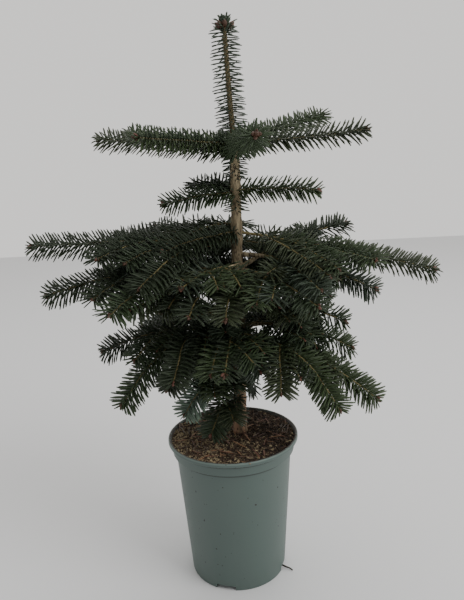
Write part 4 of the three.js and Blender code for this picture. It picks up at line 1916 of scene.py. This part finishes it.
@dataclass
class Soil:
    """Bark compost that fills the pot, with loose chips and fallen needles on it.

    Lengths are in millimetres and densities so many to a square millimetre. The outline is (distance
    from the axis, height). The surface lies sunk below the top, with bumps that have bump_scale and
    fine_scale forms to a millimetre. Each kind of chip is (name, length, width, thickness), as shares
    of chip_size, and its tone is drawn from 0 to kinds_end. Painted light: chips and fallen needles are
    dealt paler tones on the side that the light comes from. Across light_band, in metres from the
    axis, their tone moves by what light_shift says.
    """

    outline: tuple[Pair, ...] = (
        (0, 9.2), (65.6, 9.2), (78, 179.2), (82, 181.3), (83.4, 191), (84.8, 197.2),
    )
    top: float = 197.4
    edge_drop: float = 0.2
    flat_radius: float = 50
    sunk: float = 0.6
    sides: int = 120
    rings_across: int = 34
    bumps: float = 1.5
    bump_scale: float = 0.13
    fine_scale: float = 0.4
    fine_height: float = 5
    fine_share: float = 0.4
    chip_size: float = 2.7
    chips: tuple[tuple[str, float, float, float], ...] = (
        ("chip_long", 2.1, 0.7, 0.4), ("chip_broad", 1.3, 1, 0.45), ("chip_small", 0.9, 0.6, 0.5),
        ("splinter", 2.4, 0.32, 0.25),
    )
    chip_density: float = 0.2
    chip_tilt: float = 0.7
    chip_taper: float = 1.1
    chip_varies: float = 0.12
    needle_size: Triple = (15, 1.5, 0.7)
    needle_seed: int = 20
    needle_density: float = 0.006
    needle_tilt: float = 0.16
    needle_lift: float = 1.8
    size_varies: Pair = (0.45, 1.35)
    # Painted light: which side of the soil gets paler chips and fallen needles, and by how much.
    light_side: Triple = (-0.96, -0.28, 0.0)
    light_band: Pair = (-0.045, 0.07)
    light_shift: Pair = (-0.7, 1.0)
    kinds: int = 4
    kinds_end: float = 3.99
    seed: int = 12

    STATIONS = (-0.5, -0.2, 0.25, 0.5)
    CORNERS = ((0.5, -0.3), (0.42, 0.5), (-0.4, 0.4), (-0.5, -0.4))

    def height(self, x: float, y: float) -> float:
        """How high the surface is at a place.

        Args:
            x: the place's x.
            y: the place's y.

        Returns:
            The height.
        """
        radius, edge = math.hypot(x, y), self.outline[-1][0]
        share = max(0.0, (radius - self.flat_radius) / (edge - self.flat_radius))
        rough = noise.noise(Vector((x * self.bump_scale, y * self.bump_scale, 0)))
        fine = noise.noise(Vector((x * self.fine_scale, y * self.fine_scale, self.fine_height)))
        bumps = self.bumps * (rough + self.fine_share * fine)
        return self.top - self.edge_drop * share - self.sunk + bumps

    def surface(self) -> tuple[Points, Faces]:
        """Makes the bumpy top as rings round its middle.

        Returns:
            Its points and its faces.
        """
        points = [np.array([0, 0, self.height(0, 0)])]
        for ring in range(1, self.rings_across + 1):
            radius = self.outline[-1][0] * ring / self.rings_across
            points += [np.array([x, y, self.height(x, y)]) for x, y, _ in circle(radius, 0, self.sides)]
        faces = [(0, 1 + k, 1 + (k + 1) % self.sides) for k in range(self.sides)]
        for ring in range(self.rings_across - 1):
            first = 1 + ring * self.sides
            faces += self.band(first, first + self.sides)
        return points, faces

    def band(self, first: int, second: int) -> Faces:
        """The faces between two rings, which start at these points and follow each other outwards."""
        return [(first + k, second + k, second + (k + 1) % self.sides, first + (k + 1) % self.sides)
                for k in range(self.sides)]

    def body(self, material: Material) -> Object:
        """Closes the surface into a solid that fills the pot.

        Args:
            material: the compost.

        Returns:
            The solid.
        """
        points, faces = self.surface()
        rows = [1 + (self.rings_across - 1) * self.sides]
        for radius, height in reversed(self.outline[1:-1]):
            rows.append(len(points))
            points += circle(radius, height, self.sides)
        for high, low in zip(rows, rows[1:]):
            faces += self.band(high, low)
        faces.append(tuple(reversed(range(rows[-1], rows[-1] + self.sides))))
        return dressed(mesh_of("compost", points, faces), material)

    def chip(self, name: str, long: float, wide: float, tall: float, seed: int) -> Object:
        """Makes a splintered bark chip.

        Args:
            name: its name.
            long: its length, in millimetres.
            wide: its width.
            tall: its thickness.
            seed: what its splinters start from.

        Returns:
            The chip, in metres, kept out of the scene.
        """
        random, points = SeededRandom(seed), []
        for along in self.STATIONS:
            slim = 1 - self.chip_taper * along * along
            for across, over in self.CORNERS:
                shift = np.array([random.around(0, self.chip_varies) for _ in range(3)])
                point = np.array([along * long, across * wide * slim, over * tall * slim])
                points.append((point + shift * np.array([wide, wide, tall])) * MM)
        return template(name, points, rings(len(self.STATIONS), len(self.CORNERS)))

    def tree(self) -> GrowthTree:
        """Makes the nodes that strew bits over the surface.

        Returns:
            The tree of nodes.
        """
        made = GrowthTree("strewing")
        density, seed = made.asks("Density", "Float"), made.asks("Seed", "Int", self.seed)
        tilt, lift = made.asks("Tilt", "Float"), made.asks("Lift", "Float")
        bits = [made.asks(f"Bit {i}", "Object") for i in range(self.kinds)]
        tones = [made.asks(f"Tone {i}", "Material") for i in range(self.kinds)]
        sockets = {"Mesh": made.entry.outputs["Geometry"], "Density": density, "Seed": seed}
        spread = made.add("GeometryNodeDistributePointsOnFaces", sockets)
        back = made.number("MULTIPLY", tilt, -1.0)
        turn = made.random(made.joined(back, back, 0.0), made.joined(tilt, tilt, WHOLE_TURN), seed,
                           kind="FLOAT_VECTOR")
        sockets = {"Geometry": spread.outputs["Points"], "Offset": made.joined(0.0, 0.0, lift)}
        sockets = {
            "Points": made.add("GeometryNodeSetPosition", sockets).outputs[0],
            "Instance": made.one_of(bits), "Pick Instance": True,
            "Instance Index": made.random(0, self.kinds - 1, seed, 2, "INT"),
            "Rotation": made.add("FunctionNodeEulerToRotation", {"Euler": turn}).outputs[0],
            "Scale": made.random(*self.size_varies, seed, 1),
        }
        strewn = made.add("GeometryNodeInstanceOnPoints", sockets).outputs[0]
        ground = made.add("GeometryNodeInputPosition", {}).outputs[0]
        # Painted light: bits on the lit side are dealt paler tones.
        aside = made.vector("DOT_PRODUCT", ground, self.light_side)
        painted_light = made.ranged(aside, *self.light_band, *self.light_shift)
        tone = made.number("ADD", made.random(0.0, self.kinds_end, seed, 3), painted_light)
        tone = made.number("MINIMUM", made.number("MAXIMUM", tone, 0.0), float(self.kinds - 1))
        real = made.realized(made.marked(strewn, "tone", made.number("FLOOR", tone)))
        made.result(made.dealt(real, "tone", tones))
        return made

    def strewn(self, name: str, bits: Sequence[Object], tones: Sequence[PlainFinish],
               density: float, tilt: float, lift: float) -> None:
        """Strews one kind of bit over the surface.

        Args:
            name: the new piece's name.
            bits: the shapes to pick from.
            tones: their finishes, from dark to pale.
            density: how many there are to a square millimetre.
            tilt: how far they lean, in radians.
            lift: how far above the surface they lie, in millimetres.
        """
        points, faces = self.surface()
        ground = new_object(mesh_of(f"{name}_ground", points, faces))
        values = {"Density": density / MM / MM, "Seed": self.seed + len(name), "Tilt": tilt,
                  "Lift": lift * MM}
        values.update({f"Bit {i}": bit for i, bit in enumerate(bits)})
        values.update({f"Tone {i}": tone.material() for i, tone in enumerate(tones)})
        hand_over(self.tree().grow(ground, name, values), ["soil"])

    def build(self, compost: CompostFinish, tones: Sequence[PlainFinish],
              fallen: Sequence[PlainFinish]) -> None:
        """Builds the compost, the chips and the fallen needles.

        Args:
            compost: the finish of the compost.
            tones: the finishes of the chips.
            fallen: the finishes of the fallen needles.
        """
        hand_over(self.body(compost.material()), ["soil"])
        chips = [self.chip(name, *(self.chip_size * share for share in shares), number)
                 for number, (name, *shares) in enumerate(self.chips, 1)]
        self.strewn("bark_chips", chips, tones, self.chip_density, self.chip_tilt, 0)
        length, width, thickness = self.needle_size
        needles = [self.chip(f"fallen_needle_{i}", length + i, width, thickness, self.needle_seed + i)
                   for i in range(self.kinds)]
        self.strewn("fallen_needles", needles, fallen, self.needle_density, self.needle_tilt,
                    self.needle_lift)


@dataclass(frozen=True)
class PhotoCamera:
    """The camera of the reference view, in metres and degrees."""

    place: Triple = (0.0, -0.7137, 0.5418)
    lens: float = 33.0
    pitch: float = 12.1
    yaw: float = 0.6
    roll: float = -2.7

    def build(self) -> None:
        """Makes the camera and gives it to the scene."""
        pitch, yaw, roll = (math.radians(angle) for angle in (self.pitch, self.yaw, self.roll))
        ahead = Vector((math.sin(yaw) * math.cos(pitch), math.cos(yaw) * math.cos(pitch), -math.sin(pitch)))
        right = ahead.cross(Vector(UP)).normalized()
        above = right.cross(ahead)
        level = math.cos(roll) * right + math.sin(roll) * above
        upward = math.cos(roll) * above - math.sin(roll) * right
        data = bpy.data.cameras.new("camera")
        data.lens = self.lens
        camera = new_object(data)
        turn = Matrix((level, upward, -ahead)).transposed().to_4x4()
        camera.matrix_world = Matrix.Translation(self.place) @ turn
        bpy.context.scene.camera = camera


@dataclass
class Studio:
    """The pale floor and the soft light, in metres.

    Each light is (place, size, power). The room is dim on one side and bright on bright_side, and
    side_band is where it turns from the one to the other.
    """

    floor_size: float = 8.0
    lights: tuple[tuple[Triple, float, float], ...] = (
        ((2.0, -1.3, 2.2), 1.6, 40), ((0.3, 1.6, 2.6), 2.0, 14),
    )
    aim: Triple = (0, 0, 0.4)
    bright_sky: Colour = (0.98, 0.965, 0.94)
    dim_sky: Colour = (0.3, 0.3, 0.31)
    bright_side: Triple = (0.45, 0.8, 0.3)
    side_band: Pair = (-0.7, 0.45)

    def build(self, floor: FloorFinish) -> None:
        """Lays the floor, hangs the lights and tints the room.

        Args:
            floor: the floor's finish.
        """
        half = self.floor_size / 2
        corners = [(-half, -half, 0), (half, -half, 0), (half, half, 0), (-half, half, 0)]
        mesh = bpy.data.meshes.new("floor")
        mesh.from_pydata(corners, [], [(0, 1, 2, 3)])
        mesh.materials.append(floor.material())
        new_object(mesh)
        for number, (spot, size, power) in enumerate(self.lights):
            data = bpy.data.lights.new(f"softbox_{number}", "AREA")
            data.size, data.energy = size, power
            light = new_object(data)
            light.location = spot
            light.rotation_euler = (Vector(self.aim) - Vector(spot)).to_track_quat("-Z", "Y").to_euler()
        world = bpy.data.worlds.new("pale_room")
        world.use_nodes = True
        graph = NodeGraph(world.node_tree)
        away = graph.vector("NORMALIZE", graph.add("ShaderNodeTexCoord", {}).outputs["Generated"])
        share = graph.ranged(graph.vector("DOT_PRODUCT", away, self.bright_side), *self.side_band)
        background = world.node_tree.nodes["Background"]
        graph.feed(background.inputs["Color"], graph.mixed(share, self.dim_sky, self.bright_sky))
        bpy.context.scene.world = world


NEEDLE_TINTS = (
    PlainFinish("needle_deep", (0.032, 0.05, 0.023), 0.48, 0.4),
    PlainFinish("needle_blue", (0.041, 0.059, 0.037), 0.45, 0.4),
    PlainFinish("needle_dark", (0.027, 0.04, 0.019), 0.5, 0.35),
    PlainFinish("needle_green", (0.037, 0.06, 0.024), 0.48, 0.4),
    PlainFinish("needle_fresh", (0.046, 0.071, 0.027), 0.48, 0.4),
    PlainFinish("needle_moss", (0.042, 0.056, 0.024), 0.5, 0.4),
    PlainFinish("needle_frost", (0.14, 0.195, 0.145), 0.5, 0.4),
)
NEEDLE_UNDERSIDE = PlainFinish("needle_underside", (0.075, 0.1, 0.068), 0.6, 0.3)
TWIG_BARK = PlainFinish("young_twig", (0.19, 0.155, 0.065), 0.65, 0.3)
TRUNK_BARK = BarkFinish(
    "young_bark", pale=(0.48, 0.39, 0.24), brown=(0.205, 0.16, 0.092), dark=(0.06, 0.042, 0.026),
    young=(0.13, 0.108, 0.042), foot=(0.5, 0.3, 0.19),
)
BUD_BROWN = PlainFinish("bud_brown", (0.075, 0.034, 0.018), 0.55)
BUD_RED = PlainFinish("bud_red", (0.13, 0.05, 0.032), 0.55)
# The plastic has a painted highlight on the top of its lip and painted shade in its creases.
POT_PLASTIC = PotFinish(
    "moulded_plastic", colour=(0.084, 0.121, 0.108), worn=(0.096, 0.136, 0.12), lip_highlight=(0.18, 0.24, 0.215),
    dirt=(0.02, 0.018, 0.015), crease_shade=(0.04, 0.055, 0.05), soiled=(0.055, 0.042, 0.03),
)
ROOT = PlainFinish("root", (0.025, 0.017, 0.012), 0.8)
COMPOST = CompostFinish("compost", dark=(0.018, 0.011, 0.007), light=(0.07, 0.04, 0.024))
CHIP_TONES = (
    PlainFinish("chip_dark", (0.026, 0.017, 0.012), 0.9),
    PlainFinish("chip_brown", (0.085, 0.052, 0.032), 0.9),
    PlainFinish("chip_red", (0.125, 0.085, 0.053), 0.85),
    PlainFinish("chip_tan", (0.38, 0.3, 0.175), 0.85),
)
FALLEN_TONES = (
    PlainFinish("fallen_red", (0.18, 0.078, 0.045), 0.6),
    PlainFinish("fallen_brown", (0.115, 0.06, 0.034), 0.6),
    PlainFinish("fallen_tan", (0.33, 0.18, 0.09), 0.6),
    PlainFinish("fallen_dark", (0.07, 0.045, 0.022), 0.6),
)
FLOOR = FloorFinish("paper", (0.83, 0.83, 0.83))


def main() -> None:
    """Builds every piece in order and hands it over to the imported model."""
    logging.basicConfig(level=logging.INFO, format="%(name)s %(message)s")
    PhotoCamera().build()
    Studio().build(FLOOR)
    growth = Growth()
    growth.run()
    sprays = Sprays(growth)
    masses = sorted({shoot.mass for shoot in growth.shoots})
    Wood(growth).build(TRUNK_BARK)
    Twigs(sprays).build(TWIG_BARK, masses)
    Needles(sprays).build(NEEDLE_TINTS, NEEDLE_UNDERSIDE)
    Buds(sprays).build(BUD_BROWN, BUD_RED, masses)
    Pot().build(POT_PLASTIC, ROOT)
    Soil().build(COMPOST, CHIP_TONES, FALLEN_TONES)
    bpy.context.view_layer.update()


if __name__ == "__main__":
    main()
